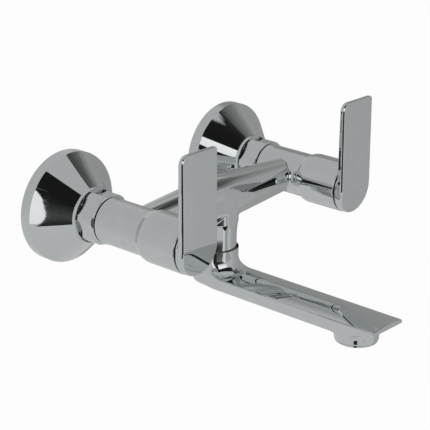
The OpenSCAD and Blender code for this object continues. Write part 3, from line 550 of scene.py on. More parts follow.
def casting_shape(sizes):
    """The distance to the casting, as a function of x, y and z.

    Each valve body is a cylinder about its axis with a collar, the crossbar a cylinder about
    X whose radius falls from the middle by the drop times root(t t + c c) - c. The neck stands
    below the crossbar's axis, and its radius grows by the swell times the fourth power of the
    height over the rise. They are joined with rolled-ball fillets and drilled with the water
    channels, the cartridge chambers and the swivel bore.
    """
    reach = INLET_X - sizes.waist_r
    crown = sizes.bar_crown
    fall = (sizes.bar_mid_r - sizes.bar_end_r) / (math.hypot(1, crown) - crown)
    lean = (sizes.collar_r - sizes.waist_r) / sizes.chamfer
    tilt = 1 / math.hypot(1, lean)
    collar_back = BODY_BACK + sizes.collar_inset
    chamfer_end = collar_back + sizes.collar_len + sizes.chamfer
    seat = BODY_BACK + sizes.seat_depth
    thread_back = NOSE_FRONT - sizes.thread_len
    bore_top = NECK_BOTTOM + sizes.neck_bore_len
    swell = sizes.bar_mid_r - sizes.neck_inset - sizes.neck_r

    def shape(x, y, z):
        across = np.abs(x) - INLET_X
        out = -y
        behind = y - NECK_Y
        valve_r = np.hypot(across, z) + TINY
        bar_r = np.hypot(behind, z) + TINY
        neck_r = np.hypot(x, behind) + TINY
        back = collar_back - out
        collar = rounded_cut(valve_r - sizes.collar_r, back, sizes.edge)
        cone = (valve_r - sizes.waist_r + (out - chamfer_end) * lean) * tilt
        collar = rounded_cut(collar, cone, sizes.edge)
        waist = np.maximum(valve_r - sizes.waist_r, back + sizes.waist_inset)
        valve = filleted_join(collar, waist, tilt, sizes.collar_fillet)
        slope = np.hypot(x / reach, crown) - crown
        bar = np.maximum(bar_r - sizes.bar_mid_r + fall * slope, across)
        height = np.clip((z - NECK_BOTTOM) / sizes.neck_rise, 0, 1)
        neck = np.maximum(neck_r - sizes.neck_r - swell * height**4, z)
        neck = rounded_cut(neck, NECK_BOTTOM - z, sizes.edge)
        body = filleted_join(bar, valve, z * z / (valve_r * bar_r), sizes.fillet)
        body = filleted_join(body, neck, behind * behind / (bar_r * neck_r), sizes.neck_fillet)
        return drilled(
            body,
            valve_r - sizes.channel_r,
            np.maximum(valve_r - sizes.chamber_r, seat - out),
            np.maximum(valve_r - sizes.thread_r, thread_back - out),
            np.maximum(bar_r - sizes.channel_r, across),
            np.maximum(neck_r - sizes.channel_r, z),
            np.maximum(neck_r - sizes.neck_bore_r, z - bore_top),
            np.maximum(np.hypot(x, z - NECK_SCREW_Z) - sizes.screw_r, -behind),
        )

    return shape


def lever_shape(sizes, side):
    """The distance to a lever, as a function of x, y and z.

    Its outline is a circle below and a box with two corner radii above. Its face leans back
    from a soft crease by half the slopes' difference times the height plus half their sum
    times root(h h + w w). A bevel between outline and face runs along the left edge and fades
    out evenly further in. Behind the plate stand a round hub and a boss with the spindle's socket,
    and a grub screw's hole comes up from below.
    """
    back = LEVER_FRONT - sizes.hub
    plate_back = LEVER_FRONT - sizes.plate
    up, down = math.tan(sizes.face_angle), math.tan(sizes.chin_angle)
    hub_r = sizes.half_width + sizes.hub_over

    def shape(x, y, z):
        u = x - side * INLET_X
        out = -y
        low_r = np.hypot(u, z + sizes.hub_drop)
        corner = np.where(u < 0, sizes.round_corner, sizes.tight_corner)
        dx = np.abs(u) - (sizes.half_width - corner)
        dz = z - (LEVER_TOP - corner)
        box = np.minimum(np.maximum(dx, dz), 0) + np.hypot(
            np.maximum(dx, 0), np.maximum(dz, 0)
        ) - corner
        outline = np.where(z < -sizes.hub_drop, low_r - sizes.half_width, box)
        rise = z - sizes.crease
        lean = (up - down) / 2 * rise + (up + down) / 2 * np.hypot(rise, sizes.crease_width)
        face = out - LEVER_FRONT + lean
        hub = rounded_cut(low_r - hub_r, back - out, sizes.back_edge)
        rear = filleted_join(plate_back - out, hub, 0.0, sizes.hub_fillet)
        bevel = (outline + face) / math.sqrt(2) + sizes.left_bevel
        inwards = u + sizes.half_width - sizes.bevel_reach
        bevel -= sizes.bevel_fade * np.maximum(inwards, 0)
        front = rounded_cut(outline, face, sizes.front_edge)
        front = rounded_cut(front, bevel, sizes.bevel_edge)
        body = rounded_cut(front, rear, sizes.back_edge)
        boss_r = np.hypot(u, z)
        boss = rounded_cut(boss_r - sizes.boss_r, LEVER_BOSS_BACK - out, sizes.back_edge)
        boss = np.maximum(boss, out - back - sizes.boss_inset)
        return drilled(
            filleted_join(body, boss, 0.0, sizes.boss_fillet),
            np.maximum(boss_r - sizes.socket_r, out - LEVER_FRONT + sizes.face_left),
            np.maximum(
                np.hypot(u, out - LEVER_SCREW_OUT) - sizes.screw_r, z + sizes.screw_stop
            ),
        )

    return shape


def spout_shape(sizes):
    """The distance to the spout, as a function of x, y and z.

    In plan it is a half circle behind the neck's axis and a rectangle in front. Its upper
    face sweeps up to the collar in one large fillet, its underside rises in a straight slope
    from the boss to the thin tip, and the boss hangs below with a smaller fillet. The lower
    edge's radius grows towards the rear. It is drilled for the nipple, the water and the
    aerator.
    """
    bottom = sizes.top - sizes.thickness
    tip_slope = (sizes.thickness - sizes.tip) / (SPOUT_TIP - BOSS_AT)
    channel_top = sizes.top - sizes.wall
    channel_low = bottom + sizes.wall
    crown_z = sizes.top - math.sqrt(sizes.crown_r**2 - sizes.half_width**2)

    def shape(x, y, z):
        ahead = NECK_Y - y
        neck_r = np.hypot(x, ahead) + TINY
        boss_r = np.hypot(x, ahead - BOSS_AT)
        side = np.abs(x) - sizes.half_width
        plan = np.where(
            ahead < 0, neck_r - sizes.half_width,
            rounded_cut(side, ahead - SPOUT_TIP, sizes.edge),
        )
        crown = np.hypot(x, z - crown_z)
        above = filleted_join(
            crown - sizes.crown_r, neck_r - sizes.half_width, x * x / (crown * neck_r),
            sizes.collar_fillet,
        )
        under = bottom + np.maximum(ahead - BOSS_AT, 0) * tip_slope - z
        boss = rounded_cut(boss_r - sizes.boss_r, BOSS_BOTTOM - z, sizes.edge)
        below = filleted_join(under, boss, 0.0, sizes.boss_fillet)
        rear = np.clip(1 - ahead / sizes.heel_len, 0, 1)
        edge = sizes.edge + (sizes.heel - sizes.edge) * rear * rear * (3 - 2 * rear)
        bar = rounded_cut(np.maximum(above, below), plan, edge)
        collar = rounded_cut(neck_r - sizes.half_width, z - COLLAR_TOP, sizes.collar_edge)
        collar = np.maximum(collar, sizes.top - sizes.collar_root - z)
        channel = np.maximum(
            np.maximum(np.abs(x) - sizes.channel_half, np.abs(ahead - BOSS_AT / 2) - BOSS_AT / 2),
            np.maximum(z - channel_top, channel_low - z),
        )
        return drilled(
            np.minimum(bar, collar),
            np.maximum(neck_r - sizes.nipple_r, NIPPLE_BOTTOM - z),
            np.maximum(neck_r - sizes.nipple_bore_r, channel_low - z),
            channel,
            np.maximum(boss_r - sizes.aerator_r, z - AERATOR_SEAL_TOP),
            np.maximum(boss_r - sizes.aerator_r + sizes.seal_ledge, z - channel_top),
        )

    return shape


def leg_shape(sizes, side):
    """The distance to a leg's core, as a function of x, y and z.

    A rimmed web round the lower axis is joined to a barrel about the valve's axis, which
    stays under the union thread's root, and both bores run through.
    """
    web_front = sizes.leg_shoulder + sizes.leg_web
    rim = sizes.wall_thread_r + sizes.leg_rim
    root = sizes.union_thread_r - sizes.thread_depth - sizes.root_gap

    def shape(x, y, z):
        out = -y
        u = x - side * INLET_X
        axis_r = np.hypot(u, z)
        low_r = np.hypot(u, z + sizes.leg_offset)
        web = np.minimum(low_r - rim, axis_r - sizes.union_thread_r)
        web = rounded_cut(web, out - web_front, sizes.leg_edge)
        body = np.minimum(web, np.maximum(axis_r - root, out - LEG_FRONT))
        body = rounded_cut(body, sizes.leg_shoulder - out, sizes.leg_edge)
        return drilled(
            body,
            np.maximum(low_r - sizes.leg_bore_r, out - web_front + sizes.bore_stop),
            np.maximum(axis_r - sizes.leg_bore_r, sizes.leg_shoulder + sizes.bore_stop - out),
        )

    return shape


def slopes(shape, points):
    """Gradient of a distance at each point, by central differences."""
    moves = np.eye(3) * PROBE
    return np.stack(
        [(shape(*(points + m).T) - shape(*(points - m).T)) / (2 * PROBE) for m in moves], 1
    )


def surface_net(shape, lowest, highest, cell):
    """Points and quads of the surface where a distance is zero.

    The distance is taken on a cubic lattice. Each cell that the surface crosses gets one
    point, the mean of where its edges are crossed, and each crossed lattice edge gets one
    quad through the four cells round it, wound so that it faces outwards. A few Newton
    steps, the value times the gradient over its square, then put each point on the surface.
    """
    axes = [np.arange(a, b + cell, cell) for a, b in zip(lowest, highest)]
    field = shape(*np.meshgrid(*axes, indexing="ij"))
    solid = field < 0
    total = np.zeros(tuple(n - 1 for n in field.shape) + (3,))
    count = np.zeros(total.shape[:3], int)
    crossings = []
    for k in range(3):
        near = tuple(slice(0, -1) if i == k else slice(None) for i in range(3))
        far = tuple(slice(1, None) if i == k else slice(None) for i in range(3))
        where = np.argwhere(solid[near] != solid[far])
        a, b = field[near][tuple(where.T)], field[far][tuple(where.T)]
        point = where.astype(float)
        point[:, k] += a / (a - b)
        i, j = [n for n in range(3) if n != k]
        inner = (where[:, i] > 0) & (where[:, j] > 0)
        inner &= (where[:, i] < total.shape[i]) & (where[:, j] < total.shape[j])
        where, point, entering = where[inner], point[inner], a[inner] < 0
        ring = []
        for di, dj in ((0, 0), (1, 0), (1, 1), (0, 1)):
            corner = where.copy()
            corner[:, i] -= di
            corner[:, j] -= dj
            np.add.at(total, tuple(corner.T), point)
            np.add.at(count, tuple(corner.T), 1)
            ring.append(corner)
        crossings.append((ring, entering != (k == 1)))
    used = count > 0
    number = np.full(count.shape, -1)
    number[used] = np.arange(used.sum())
    points = total[used] / count[used][:, None] * cell + [axis[0] for axis in axes]
    quads = []
    for ring, keep in crossings:
        quad = np.stack([number[tuple(c.T)] for c in ring], 1)
        quads += [quad[keep], quad[~keep][:, ::-1]]
    for _ in range(NEWTON_STEPS):
        slope = slopes(shape, points)
        step = shape(*points.T) / np.maximum((slope**2).sum(1), LEAST_SLOPE)
        points -= np.clip(step, -cell, cell)[:, None] * slope
    return points, np.concatenate(quads)


# Meshes


def positions(mesh):
    """A mesh's points as an array."""
    flat = np.empty(len(mesh.vertices) * 3)
    mesh.vertices.foreach_get("co", flat)
    return flat.reshape(-1, 3)


def volume(points, quads):
    """Signed volume inside quads, as the sum of the pyramids to the origin."""
    a, b, c, d = (points[quads[:, k]] for k in range(4))
    return (np.cross(a, b) * c + np.cross(a, c) * d).sum() / 6


def joined(*parts):
    """One set of points and quads from several."""
    starts = np.cumsum([0] + [len(points) for points, _ in parts])
    return (
        np.concatenate([points for points, _ in parts]),
        np.concatenate([quads + start for (_, quads), start in zip(parts, starts)]),
    )


def outward(points, quads):
    """The same quads, turned over if they face inwards."""
    return quads if volume(points - points.mean(0), quads) > 0 else quads[:, ::-1]


def mesh_from(name, points, quads):
    """A mesh with smooth faces from arrays of points and quads."""
    mesh = bpy.data.meshes.new(name)
    mesh.vertices.add(len(points))
    mesh.loops.add(quads.size)
    mesh.polygons.add(len(quads))
    mesh.vertices.foreach_set("co", points.astype(np.float32).ravel())
    mesh.loops.foreach_set("vertex_index", quads.astype(np.int32).ravel())
    mesh.polygons.foreach_set("loop_start", np.arange(0, quads.size, 4, dtype=np.int32))
    mesh.update(calc_edges=True)
    mesh.validate()
    mesh.shade_smooth()
    return mesh


def piece(mesh, body, material, replaced):
    """Puts a mesh in the scene as a piece that rides on a body and stands for a node."""
    item = bpy.data.objects.new(mesh.name, mesh)
    bpy.context.scene.collection.objects.link(item)
    mesh.materials.append(material)
    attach(item, body)
    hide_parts(replaced)
    return item


def cast_mesh(name, shape, lowest, highest, cell, trim=None):
    """A casting's mesh, whose normals are the distance's own gradient.

    The trim is the last station that is kept, out from the wall: what lies beyond is cut off
    and the cut is closed flat.
    """
    points, quads = surface_net(shape, lowest, highest, cell)
    mesh = mesh_from(name, points, quads)
    if trim is not None:
        cut_flat(mesh, trim)
    points = positions(mesh)
    slope = slopes(shape, points)
    slope /= np.maximum(np.linalg.norm(slope, axis=1, keepdims=True), TINY)
    corner = np.empty(len(mesh.loops), np.int32)
    mesh.loops.foreach_get("vertex_index", corner)
    normals = slope[corner]
    if trim is not None:
        on_cut = np.abs(points[:, 1] + trim) < ON_CUT
        normals[flat_corners(mesh, on_cut)] = (0.0, -1.0, 0.0)
    mesh.normals_split_custom_set(normals.tolist())
    return mesh


def flat_corners(mesh, marked):
    """Marks the corners of those faces whose points are all marked."""
    corner = np.empty(len(mesh.loops), np.int32)
    mesh.loops.foreach_get("vertex_index", corner)
    size = np.empty(len(mesh.polygons), np.int32)
    mesh.polygons.foreach_get("loop_total", size)
    start = np.concatenate([[0], np.cumsum(size)[:-1]])
    whole = np.logical_and.reduceat(marked[corner], start)
    return np.repeat(whole, size)


def cut_flat(mesh, trim):
    """Cuts off what lies further out than the trim and closes the cut with flat faces."""
    work = bmesh.new()
    work.from_mesh(mesh)
    everything = work.verts[:] + work.edges[:] + work.faces[:]
    cut = bmesh.ops.bisect_plane(
        work, geom=everything, plane_co=(0, -trim, 0), plane_no=(0, -1, 0), clear_outer=True
    )
    rim = [e for e in cut["geom_cut"] if isinstance(e, bmesh.types.BMEdge)]
    bmesh.ops.triangle_fill(work, edges=rim, use_beauty=True, normal=(0, -1, 0))
    work.to_mesh(mesh)
    work.free()
    mesh.shade_smooth()


def turned_mesh(name, corners, place, columns):
    """A turned ring's mesh, whose normals are the outline's own."""
    points, quads, normals = turned(corners, place, columns)
    mesh = mesh_from(name, points, outward(points, quads))
    mesh.normals_split_custom_set_from_vertices(normals.tolist())
    return mesh


def crisp_mesh(name, points, quads, degrees):
    """A mesh that shades flat across edges sharper than an angle in degrees."""
    mesh = mesh_from(name, points, quads)
    mesh.set_sharp_from_angle(angle=math.radians(degrees))
    return mesh


# Materials


def new_material(name):
    """A node material with only a Principled shader, its tree and that shader."""
    material = bpy.data.materials.new(name)
    material.use_nodes = True
    tree = material.node_tree
    tree.nodes.clear()
    shader = tree.nodes.new("ShaderNodeBsdfPrincipled")
    output = tree.nodes.new("ShaderNodeOutputMaterial")
    tree.links.new(shader.outputs["BSDF"], output.inputs["Surface"])
    return material, tree, shader


def noise(tree, scale, detail, stretch=(1.0, 1.0, 1.0)):
    """A noise pattern on Object coordinates, in metres."""
    coordinates = tree.nodes.new("ShaderNodeTexCoord")
    mapping = tree.nodes.new("ShaderNodeMapping")
    mapping.inputs["Scale"].default_value = stretch
    pattern = tree.nodes.new("ShaderNodeTexNoise")
    pattern.inputs["Scale"].default_value = scale
    pattern.inputs["Detail"].default_value = detail
    tree.links.new(coordinates.outputs["Object"], mapping.inputs["Vector"])
    tree.links.new(mapping.outputs["Vector"], pattern.inputs["Vector"])
    return pattern


def spread(tree, source, least, most):
    """Maps a noise pattern's span onto a range."""
    ramp = tree.nodes.new("ShaderNodeMapRange")
    levels = (*NOISE_SPAN, least, most)
    for name, level in zip(("From Min", "From Max", "To Min", "To Max"), levels):
        ramp.inputs[name].default_value = level
    tree.links.new(source, ramp.inputs["Value"])
    return ramp.outputs["Result"]


def tinted(tree, source, dark, light):
    """A colour that follows a pattern from a dark tone to a light one."""
    ramp = tree.nodes.new("ShaderNodeValToRGB")
    for stop, position, tone in zip(ramp.color_ramp.elements, TONE_STOPS, (dark, light)):
        stop.position = position
        stop.color = (*tone, 1.0)
    tree.links.new(source, ramp.inputs["Fac"])
    return ramp.outputs["Color"]


def bumped(tree, shader, source, distance):
    """Bends the shader's normal by a pattern of a given height in metres."""
    bump = tree.nodes.new("ShaderNodeBump")
    bump.inputs["Distance"].default_value = distance
    tree.links.new(source, bump.inputs["Height"])
    tree.links.new(bump.outputs["Normal"], shader.inputs["Normal"])


def scaled(base, factor):
    """A colour made lighter or darker."""
    return tuple(min(1.0, c * factor) for c in base)


def finish(name, base, metal, rough, mottle, bump, pattern):
    """A procedural finish: mottled colour, uneven roughness and a fine relief.

    The pattern gives the noise's scale, its detail and its stretch along the three axes.
    """
    material, tree, shader = new_material(name)
    cloud = noise(tree, *pattern)
    shader.inputs["Metallic"].default_value = metal
    height = cloud.outputs["Fac"]
    tone = tinted(tree, height, scaled(base, 1 - mottle), scaled(base, 1 + mottle))
    tree.links.new(tone, shader.inputs["Base Color"])
    tree.links.new(spread(tree, height, *rough), shader.inputs["Roughness"])
    bumped(tree, shader, height, bump)
    return material


def get_finishes():
    """Every finish, made once: one for each slot of the record, and one for cast chrome.

    A recipe gives the colour, how metallic it is, the roughness from and to, the share by
    which its colour varies, the relief's height and the noise's pattern.
    """
    wanted = bpy.context.scene.mixer_finishes
    recipes = {
        "chrome": (wanted.chrome, 1.0, (0.012, 0.03), 0.012, 0.0000004, (190.0, 2.0)),
        "cast_chrome": (wanted.chrome, 1.0, (0.015, 0.04), 0.015, 0.0000007, (150.0, 2.0)),
        "brass": (wanted.brass, 1.0, (0.2, 0.34), 0.08, 0.000004, (900.0, 3.0, (1, 6, 1))),
        "steel": (wanted.steel, 1.0, (0.18, 0.32), 0.06, 0.000003, (1400.0, 2.0)),
        "ceramic": (wanted.ceramic, 0.0, (0.12, 0.2), 0.02, 0.000001, (700.0, 2.0)),
        "rubber": (wanted.rubber, 0.0, (0.5, 0.65), 0.15, 0.00001, (1600.0, 3.0)),
        "fibre": (wanted.fibre, 0.0, (0.7, 0.9), 0.25, 0.00003, (2200.0, 4.0)),
        "polymer": (wanted.polymer, 0.0, (0.3, 0.42), 0.03, 0.000004, (600.0, 2.0)),
    }
    found = {}
    for name, (base, *rest) in recipes.items():
        material = bpy.data.materials.get("mixer_" + name)
        found[name] = material or finish("mixer_" + name, tuple(base), *rest)
    return found


# Operators


def turned_pair(ending, outline, columns, finish_name, node):
    """Puts a turned piece on each valve's axis, in place of the node named for its side."""
    for name, side in SIDES.items():
        mesh = turned_mesh(name + ending, outline, valve_place(side), columns)
        piece(mesh, "root", get_finishes()[finish_name], node.format(name))


class MIXER_OT_casting(bpy.types.Operator):
    """Makes the casting: two valve bodies, the crossbar and the neck"""

    bl_idname = "mixer.casting"
    bl_label = "Casting"

    def execute(self, context):
        sizes = context.scene.mixer_casting
        material = get_finishes()["cast_chrome"]
        cell = sizes.cell
        far_x = INLET_X + sizes.collar_r + MARGIN * cell
        trim = SLEEVE_BACK - CLEARANCE
        past_cut = 2 * cell
        lowest = (-far_x, -trim - past_cut, NECK_BOTTOM - MARGIN * cell)
        highest = (far_x, MARGIN * cell - BODY_BACK, sizes.collar_r + MARGIN * cell)
        body = cast_mesh("body_casting", casting_shape(sizes), lowest, highest, cell, trim)
        piece(body, "root", material, "mixer_body")
        return {"FINISHED"}


class MIXER_OT_noses(bpy.types.Operator):
    """Makes the threaded noses that the sleeves slide over"""

    bl_idname = "mixer.noses"
    bl_label = "Noses"

    def execute(self, context):
        sizes = context.scene.mixer_casting
        back = SLEEVE_BACK - CLEARANCE
        edge = sizes.nose_edge
        outline = [
            (sizes.thread_r, back, edge), (sizes.nose_r, back, edge),
            (sizes.nose_r, NOSE_FRONT, edge), (sizes.thread_r, NOSE_FRONT, edge),
        ]
        turned_pair("_nose", outline, HIDDEN_COLUMNS, "brass", "mixer_body")
        return {"FINISHED"}


class MIXER_OT_levers(bpy.types.Operator):
    """Makes the two levers"""

    bl_idname = "mixer.levers"
    bl_label = "Levers"

    def execute(self, context):
        sizes = context.scene.mixer_lever
        material = get_finishes()["chrome"]
        cell = sizes.cell
        half = sizes.half_width + MARGIN * cell
        for name, side in SIDES.items():
            x = side * INLET_X
            bottom = -sizes.half_width - sizes.hub_drop - MARGIN * cell
            lowest = (x - half, -LEVER_FRONT - MARGIN * cell, bottom)
            highest = (x + half, MARGIN * cell - LEVER_BOSS_BACK, LEVER_TOP + MARGIN * cell)
            mesh = cast_mesh(name + "_paddle", lever_shape(sizes, side), lowest, highest, cell)
            piece(mesh, name + "_handle", material, name + "_lever")
        return {"FINISHED"}


class MIXER_OT_spout(bpy.types.Operator):
    """Makes the spout"""

    bl_idname = "mixer.spout"
    bl_label = "Spout"

    def execute(self, context):
        sizes = context.scene.mixer_spout
        cell = sizes.cell
        half = sizes.half_width + MARGIN * cell
        lowest = (-half, NECK_Y - SPOUT_TIP - MARGIN * cell, BOSS_BOTTOM - MARGIN * cell)
        highest = (half, NECK_Y + half, COLLAR_TOP + MARGIN * cell)
        mesh = cast_mesh("spout_casting", spout_shape(sizes), lowest, highest, cell)
        piece(mesh, "spout_arm", get_finishes()["chrome"], "spout")
        return {"FINISHED"}


class MIXER_OT_flanges(bpy.types.Operator):
    """Makes the conical flanges on the wall"""

    bl_idname = "mixer.flanges"
    bl_label = "Flanges"

    def execute(self, context):
        f = context.scene.mixer_fittings
        inner = f.flange_r - f.flange_wall
        neck = f.flange_front_r - f.flange_wall
        lip_r = f.flange_front_r - f.flange_lip_wall
        web = f.flange_depth - f.flange_web
        front = f.flange_depth + f.flange_lip
        outline = [
            (inner, 0.0, f.fine_edge),
            (f.flange_r, 0.0, f.rim_edge),
            (f.flange_r, f.flange_band, f.rim_round),
            (f.flange_front_r, f.flange_depth, f.cone_round),
            (f.flange_front_r, front, f.small_edge),
            (lip_r, front, f.fine_edge),
            (lip_r, f.flange_depth, f.small_edge),
            (f.flange_hole_r, f.flange_depth, f.small_edge),
            (f.flange_hole_r, web, f.small_edge),
            (neck, web, f.cone_inner),
            (inner, f.flange_band - f.band_inset, f.rim_inner),
        ]
        turned_pair("_rosette", outline, f.columns, "chrome", "{}_wall_flange")
        return {"FINISHED"}


class MIXER_OT_nuts(bpy.types.Operator):
    """Makes the chamfered union nuts"""

    bl_idname = "mixer.nuts"
    bl_label = "Union nuts"

    def execute(self, context):
        sizes = context.scene.mixer_fittings
        chrome = get_finishes()["chrome"]
        for name, side in SIDES.items():
            points, quads = hexagonal(valve_place(side), sizes)
            mesh = crisp_mesh(name + "_nut", points, outward(points, quads), NUT_SHARP)
            item = piece(mesh, "root", chrome, name + "_union_nut")
            bevel = item.modifiers.new("edges", "BEVEL")
            bevel.width = sizes.nut_bevel
            bevel.segments = NUT_BEVEL_STEPS
            bevel.limit_method = "ANGLE"
            bevel.angle_limit = math.radians(NUT_BEVELLED)
            bevel.harden_normals = True
        return {"FINISHED"}


class MIXER_OT_sleeves(bpy.types.Operator):
    """Makes the sleeves over the cartridges"""

    bl_idname = "mixer.sleeves"
    bl_label = "Sleeves"

    def execute(self, context):
        f = context.scene.mixer_fittings
        body = context.scene.mixer_casting
        bore = body.nose_r + CLEARANCE
        inner = f.sleeve_r - f.sleeve_wall
        step = NOSE_FRONT + f.sleeve_step
        outline = [
            (bore, SLEEVE_BACK, f.fine_edge),
            (body.waist_r, SLEEVE_BACK, f.fine_edge),
            (body.waist_r, SLEEVE_BACK + f.sleeve_band, f.sleeve_hollow),
            (f.sleeve_r, SLEEVE_BACK + f.sleeve_cone, f.sleeve_round),
            (f.sleeve_r, SLEEVE_FRONT, f.sleeve_mouth),
            (inner, SLEEVE_FRONT, f.small_edge),
            (inner, step, f.small_edge),
            (bore, step - f.sleeve_seat, f.small_edge),
        ]
        turned_pair("_sleeve", outline, f.columns, "chrome", "{}_bonnet_sleeve")
        return {"FINISHED"}


class MIXER_OT_legs(bpy.types.Operator):
    """Makes the eccentric legs with their two pipe threads"""

    bl_idname = "mixer.legs"
    bl_label = "Legs"

    def execute(self, context):
        f = context.scene.mixer_fittings
        rim = f.union_thread_r + MARGIN * LEG_CELL
        for name, side in SIDES.items():
            x = side * INLET_X
            bottom = -f.leg_offset - f.wall_thread_r - f.leg_rim - MARGIN * LEG_CELL
            lowest = (x - rim, -LEG_FRONT - MARGIN * LEG_CELL, bottom)
            highest = (x + rim, MARGIN * LEG_CELL - f.leg_shoulder, rim)
            core = surface_net(leg_shape(f, side), lowest, highest, LEG_CELL)
            parts = [
                core,
                threaded(
                    f.wall_thread_r, f.leg_bore_r, LEG_BACK, f.leg_shoulder + f.wall_lap,
                    valve_place(side, f.leg_offset), f,
                ),
                threaded(
                    f.union_thread_r, f.leg_bore_r + f.union_bore,
                    f.leg_shoulder + f.leg_web + f.union_gap, LEG_FRONT, valve_place(side), f,
                ),
            ]
            points, quads = joined(*((p, outward(p, q)) for p, q in parts))
            mesh = crisp_mesh(name + "_leg", points, quads, LEG_SHARP)
            piece(mesh, "root", get_finishes()["brass"], name + "_eccentric_leg")
        return {"FINISHED"}


class MIXER_OT_small_parts(bpy.types.Operator):
    """Gives every node that is still shown its finish"""

    bl_idname = "mixer.small_parts"
    bl_label = "Small parts"

    def execute(self, context):
        materials = get_finishes()
        slots = {p["node"]: p["material_slot"] for p in frame["record"]["subparts"]}
        for name, item in frame["nodes"].items():
            item.data.materials.clear()
            item.data.materials.append(materials[slots[name]])
        return {"FINISHED"}


class MIXER_OT_stage(bpy.types.Operator):
    """Sets up the floor, the light and the camera"""

    bl_idname = "mixer.stage"
    bl_label = "Stage"

    def execute(self, context):
        stage = context.scene.mixer_stage
        make_floor(stage)
        make_cards(stage)
        make_world(context.scene, stage)
        make_camera(context.scene, stage)
        context.scene.view_settings.view_transform = "Standard"
        return {"FINISHED"}


def seen_ray(tree):
    """One for camera, glossy and transmission rays, and zero for the rest."""
    path = tree.nodes.new("ShaderNodeLightPath")
    total = path.outputs["Is Camera Ray"]
    for name in ("Is Glossy Ray", "Is Transmission Ray"):
        add = tree.nodes.new("ShaderNodeMath")
        add.operation = "MAXIMUM"
        tree.links.new(total, add.inputs[0])
        tree.links.new(path.outputs[name], add.inputs[1])
        total = add.outputs[0]
    return total


def make_floor(stage):
    """A wide pale floor that shows white and keeps a soft shadow."""
    h = stage.floor_half
    points = np.array([(-h, -h, 0), (h, -h, 0), (h, h, 0), (-h, h, 0)]) + [0, 0, stage.floor_z]
    mesh = mesh_from("floor", points, np.array([[0, 1, 2, 3]]))
    floor = bpy.data.objects.new("floor", mesh)
    bpy.context.scene.collection.objects.link(floor)
    material, tree, shader = new_material("floor_paint")
    shader.inputs["Base Color"].default_value = (*stage.floor_tone, 1)
    shader.inputs["Roughness"].default_value = 1.0
    glow = tree.nodes.new("ShaderNodeEmission")
    glow.inputs["Strength"].default_value = 1.0
    blend = tree.nodes.new("ShaderNodeMixShader")
    white = tree.nodes.new("ShaderNodeMath")
    white.operation = "MULTIPLY"
    white.inputs[1].default_value = stage.floor_white
    tree.links.new(seen_ray(tree), white.inputs[0])
    tree.links.new(white.outputs[0], blend.inputs["Fac"])
    tree.links.new(shader.outputs["BSDF"], blend.inputs[1])
    tree.links.new(glow.outputs["Emission"], blend.inputs[2])
    tree.links.new(blend.outputs["Shader"], tree.nodes["Material Output"].inputs["Surface"])
    mesh.materials.append(material)


def card_material():
    """A card's glow, a painted reflection that lights nothing, which fades out towards its soft
    edge.
    """
    material = bpy.data.materials.new("painted_reflection_card")
    material.use_nodes = True
    tree = material.node_tree
    tree.nodes.clear()
    glow, cover = (tree.nodes.new("ShaderNodeAttribute") for _ in range(2))
    glow.attribute_name, cover.attribute_name = "glow", "cover"
    light = tree.nodes.new("ShaderNodeEmission")
    clear = tree.nodes.new("ShaderNodeBsdfTransparent")
    blend = tree.nodes.new("ShaderNodeMixShader")
    output = tree.nodes.new("ShaderNodeOutputMaterial")
    tree.links.new(glow.outputs["Fac"], light.inputs["Strength"])
    tree.links.new(cover.outputs["Fac"], blend.inputs["Fac"])
    tree.links.new(clear.outputs["BSDF"], blend.inputs[1])
    tree.links.new(light.outputs["Emission"], blend.inputs[2])
    tree.links.new(blend.outputs["Shader"], output.inputs["Surface"])
    return material


def make_cards(stage):
    """The studio's cards, as patches of a sphere round the mixer: painted reflections that light
    nothing and cast no shadow.

    point(a, e) = centre + reach * (sin a cos e, -cos a cos e, sin e), where each card's reach
    is a little less than the one before. Between two lines of a card, and along each line,
    azimuth, elevation and glow are blended evenly. The cover climbs from none at the border
    to full one soft edge further in.
    """
    material = card_material()
    centre = np.array([0.0, NECK_Y, 0.0])
    for number, (name, (lines, soft)) in enumerate(CARDS.items()):
        lines = np.array(lines, float)
        span = np.abs(np.diff(lines[..., :2], axis=1)).max()
        climb = np.abs(np.diff(lines[..., :2], axis=0)).max((1, 2))
        at = np.concatenate([[0], np.cumsum(climb)])
        fine = np.union1d(np.linspace(0, at[-1], max(3, int(at[-1] / stage.card_grain))), at)
        ends = [np.interp(fine, at, column) for column in lines.reshape(len(lines), 6).T]
        first, last = np.stack(ends[:3], 1), np.stack(ends[3:], 1)
        u = np.linspace(0, 1, max(3, int(span / stage.card_grain)))
        a, e, glow = np.moveaxis(
            first[:, None] * (1 - u[:, None]) + last[:, None] * u[:, None], 2, 0
        )
        inside = np.minimum(
            np.minimum(u, 1 - u)[None] * span, np.minimum(fine, at[-1] - fine)[:, None]
        )
        cover = np.clip(inside / soft, 0, 1) if soft else np.ones(a.shape)
        a, e = np.radians(a), np.radians(e)
        facing = np.stack([np.sin(a) * np.cos(e), -np.cos(a) * np.cos(e), np.sin(e)], 2)
        reach = stage.card_reach - number * stage.card_step
        points = (centre + reach * facing).reshape(-1, 3)
        rows, columns = a.shape
        corner = (np.arange(rows - 1)[:, None] * columns + np.arange(columns - 1)).reshape(-1)
        quads = np.stack([corner, corner + 1, corner + columns + 1, corner + columns], 1)
        mesh = mesh_from(name, points, quads)
        for key, values in (("glow", glow), ("cover", cover)):
            layer = mesh.attributes.new(key, "FLOAT", "POINT")
            layer.data.foreach_set("value", values.ravel().astype(np.float32))
        mesh.materials.append(material)
        card = bpy.data.objects.new(name, mesh)
        bpy.context.scene.collection.objects.link(card)
        # Seen only in reflections: each card's glow or darkness is a painted reflection, not a
        # lamp.
        card.visible_camera = card.visible_diffuse = card.visible_shadow = False


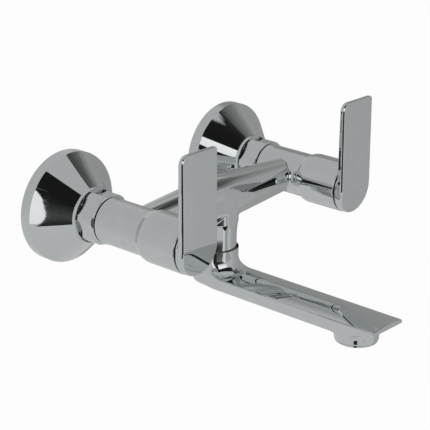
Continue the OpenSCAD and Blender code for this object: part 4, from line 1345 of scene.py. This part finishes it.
def make_world(scene, stage):
    """White for the rays that see it, and a soft light for the rest."""
    world = bpy.data.worlds.new("studio")
    scene.world = world
    world.use_nodes = True
    tree = world.node_tree
    background = tree.nodes["Background"]
    level = tree.nodes.new("ShaderNodeMapRange")
    level.inputs["To Min"].default_value = stage.world_light
    level.inputs["To Max"].default_value = 1.0
    tree.links.new(seen_ray(tree), level.inputs["Value"])
    tree.links.new(level.outputs["Result"], background.inputs["Strength"])
    background.inputs["Color"].default_value = (1, 1, 1, 1)


def make_camera(scene, stage):
    """The camera at the photograph's angle: right, up and back from three angles."""
    a, e, r = stage.azimuth, stage.elevation, stage.roll
    back = Vector((math.sin(a) * math.cos(e), -math.cos(a) * math.cos(e), math.sin(e)))
    right = Vector((math.cos(a), math.sin(a), 0.0))
    up = back.cross(right)
    right, up = (
        right * math.cos(r) + up * math.sin(r),
        up * math.cos(r) - right * math.sin(r),
    )
    data = bpy.data.cameras.new("camera")
    data.lens = stage.lens
    data.sensor_width = stage.sensor
    data.clip_start, data.clip_end = stage.nearest, stage.farthest
    camera = bpy.data.objects.new("camera", data)
    scene.collection.objects.link(camera)
    turn = Matrix((right, up, back)).transposed().to_4x4()
    camera.matrix_world = Matrix.Translation(Vector(stage.place)) @ turn
    scene.camera = camera


STEPS = (
    MIXER_OT_small_parts, MIXER_OT_casting, MIXER_OT_noses, MIXER_OT_levers, MIXER_OT_spout,
    MIXER_OT_flanges, MIXER_OT_nuts, MIXER_OT_sleeves, MIXER_OT_legs, MIXER_OT_stage,
)


class MIXER_PT_panel(bpy.types.Panel):
    """Lists the steps and the sizes in the sidebar"""

    bl_idname = "MIXER_PT_panel"
    bl_label = "Wall mixer"
    bl_space_type = "VIEW_3D"
    bl_region_type = "UI"
    bl_category = "Mixer"

    def draw(self, context):
        for step in STEPS:
            self.layout.operator(step.bl_idname)
        for group in GROUPS:
            box = self.layout.box()
            held = getattr(context.scene, group)
            for prop in held.bl_rna.properties:
                if prop.identifier not in ("rna_type", "name"):
                    box.prop(held, prop.identifier)


def register():
    """Registers the property groups, the operators and the panel."""
    for name, group in GROUPS.items():
        bpy.utils.register_class(group)
        setattr(bpy.types.Scene, name, PointerProperty(type=group))
    for step in (*STEPS, MIXER_PT_panel):
        bpy.utils.register_class(step)


def unregister():
    """Takes them away again, in reverse."""
    for step in reversed((*STEPS, MIXER_PT_panel)):
        bpy.utils.unregister_class(step)
    for name, group in reversed(GROUPS.items()):
        delattr(bpy.types.Scene, name)
        bpy.utils.unregister_class(group)


def main():
    """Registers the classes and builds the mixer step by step."""
    register()
    for step in STEPS:
        group, name = step.bl_idname.split(".")
        getattr(getattr(bpy.ops, group), name)()


if __name__ == "__main__":
    main()
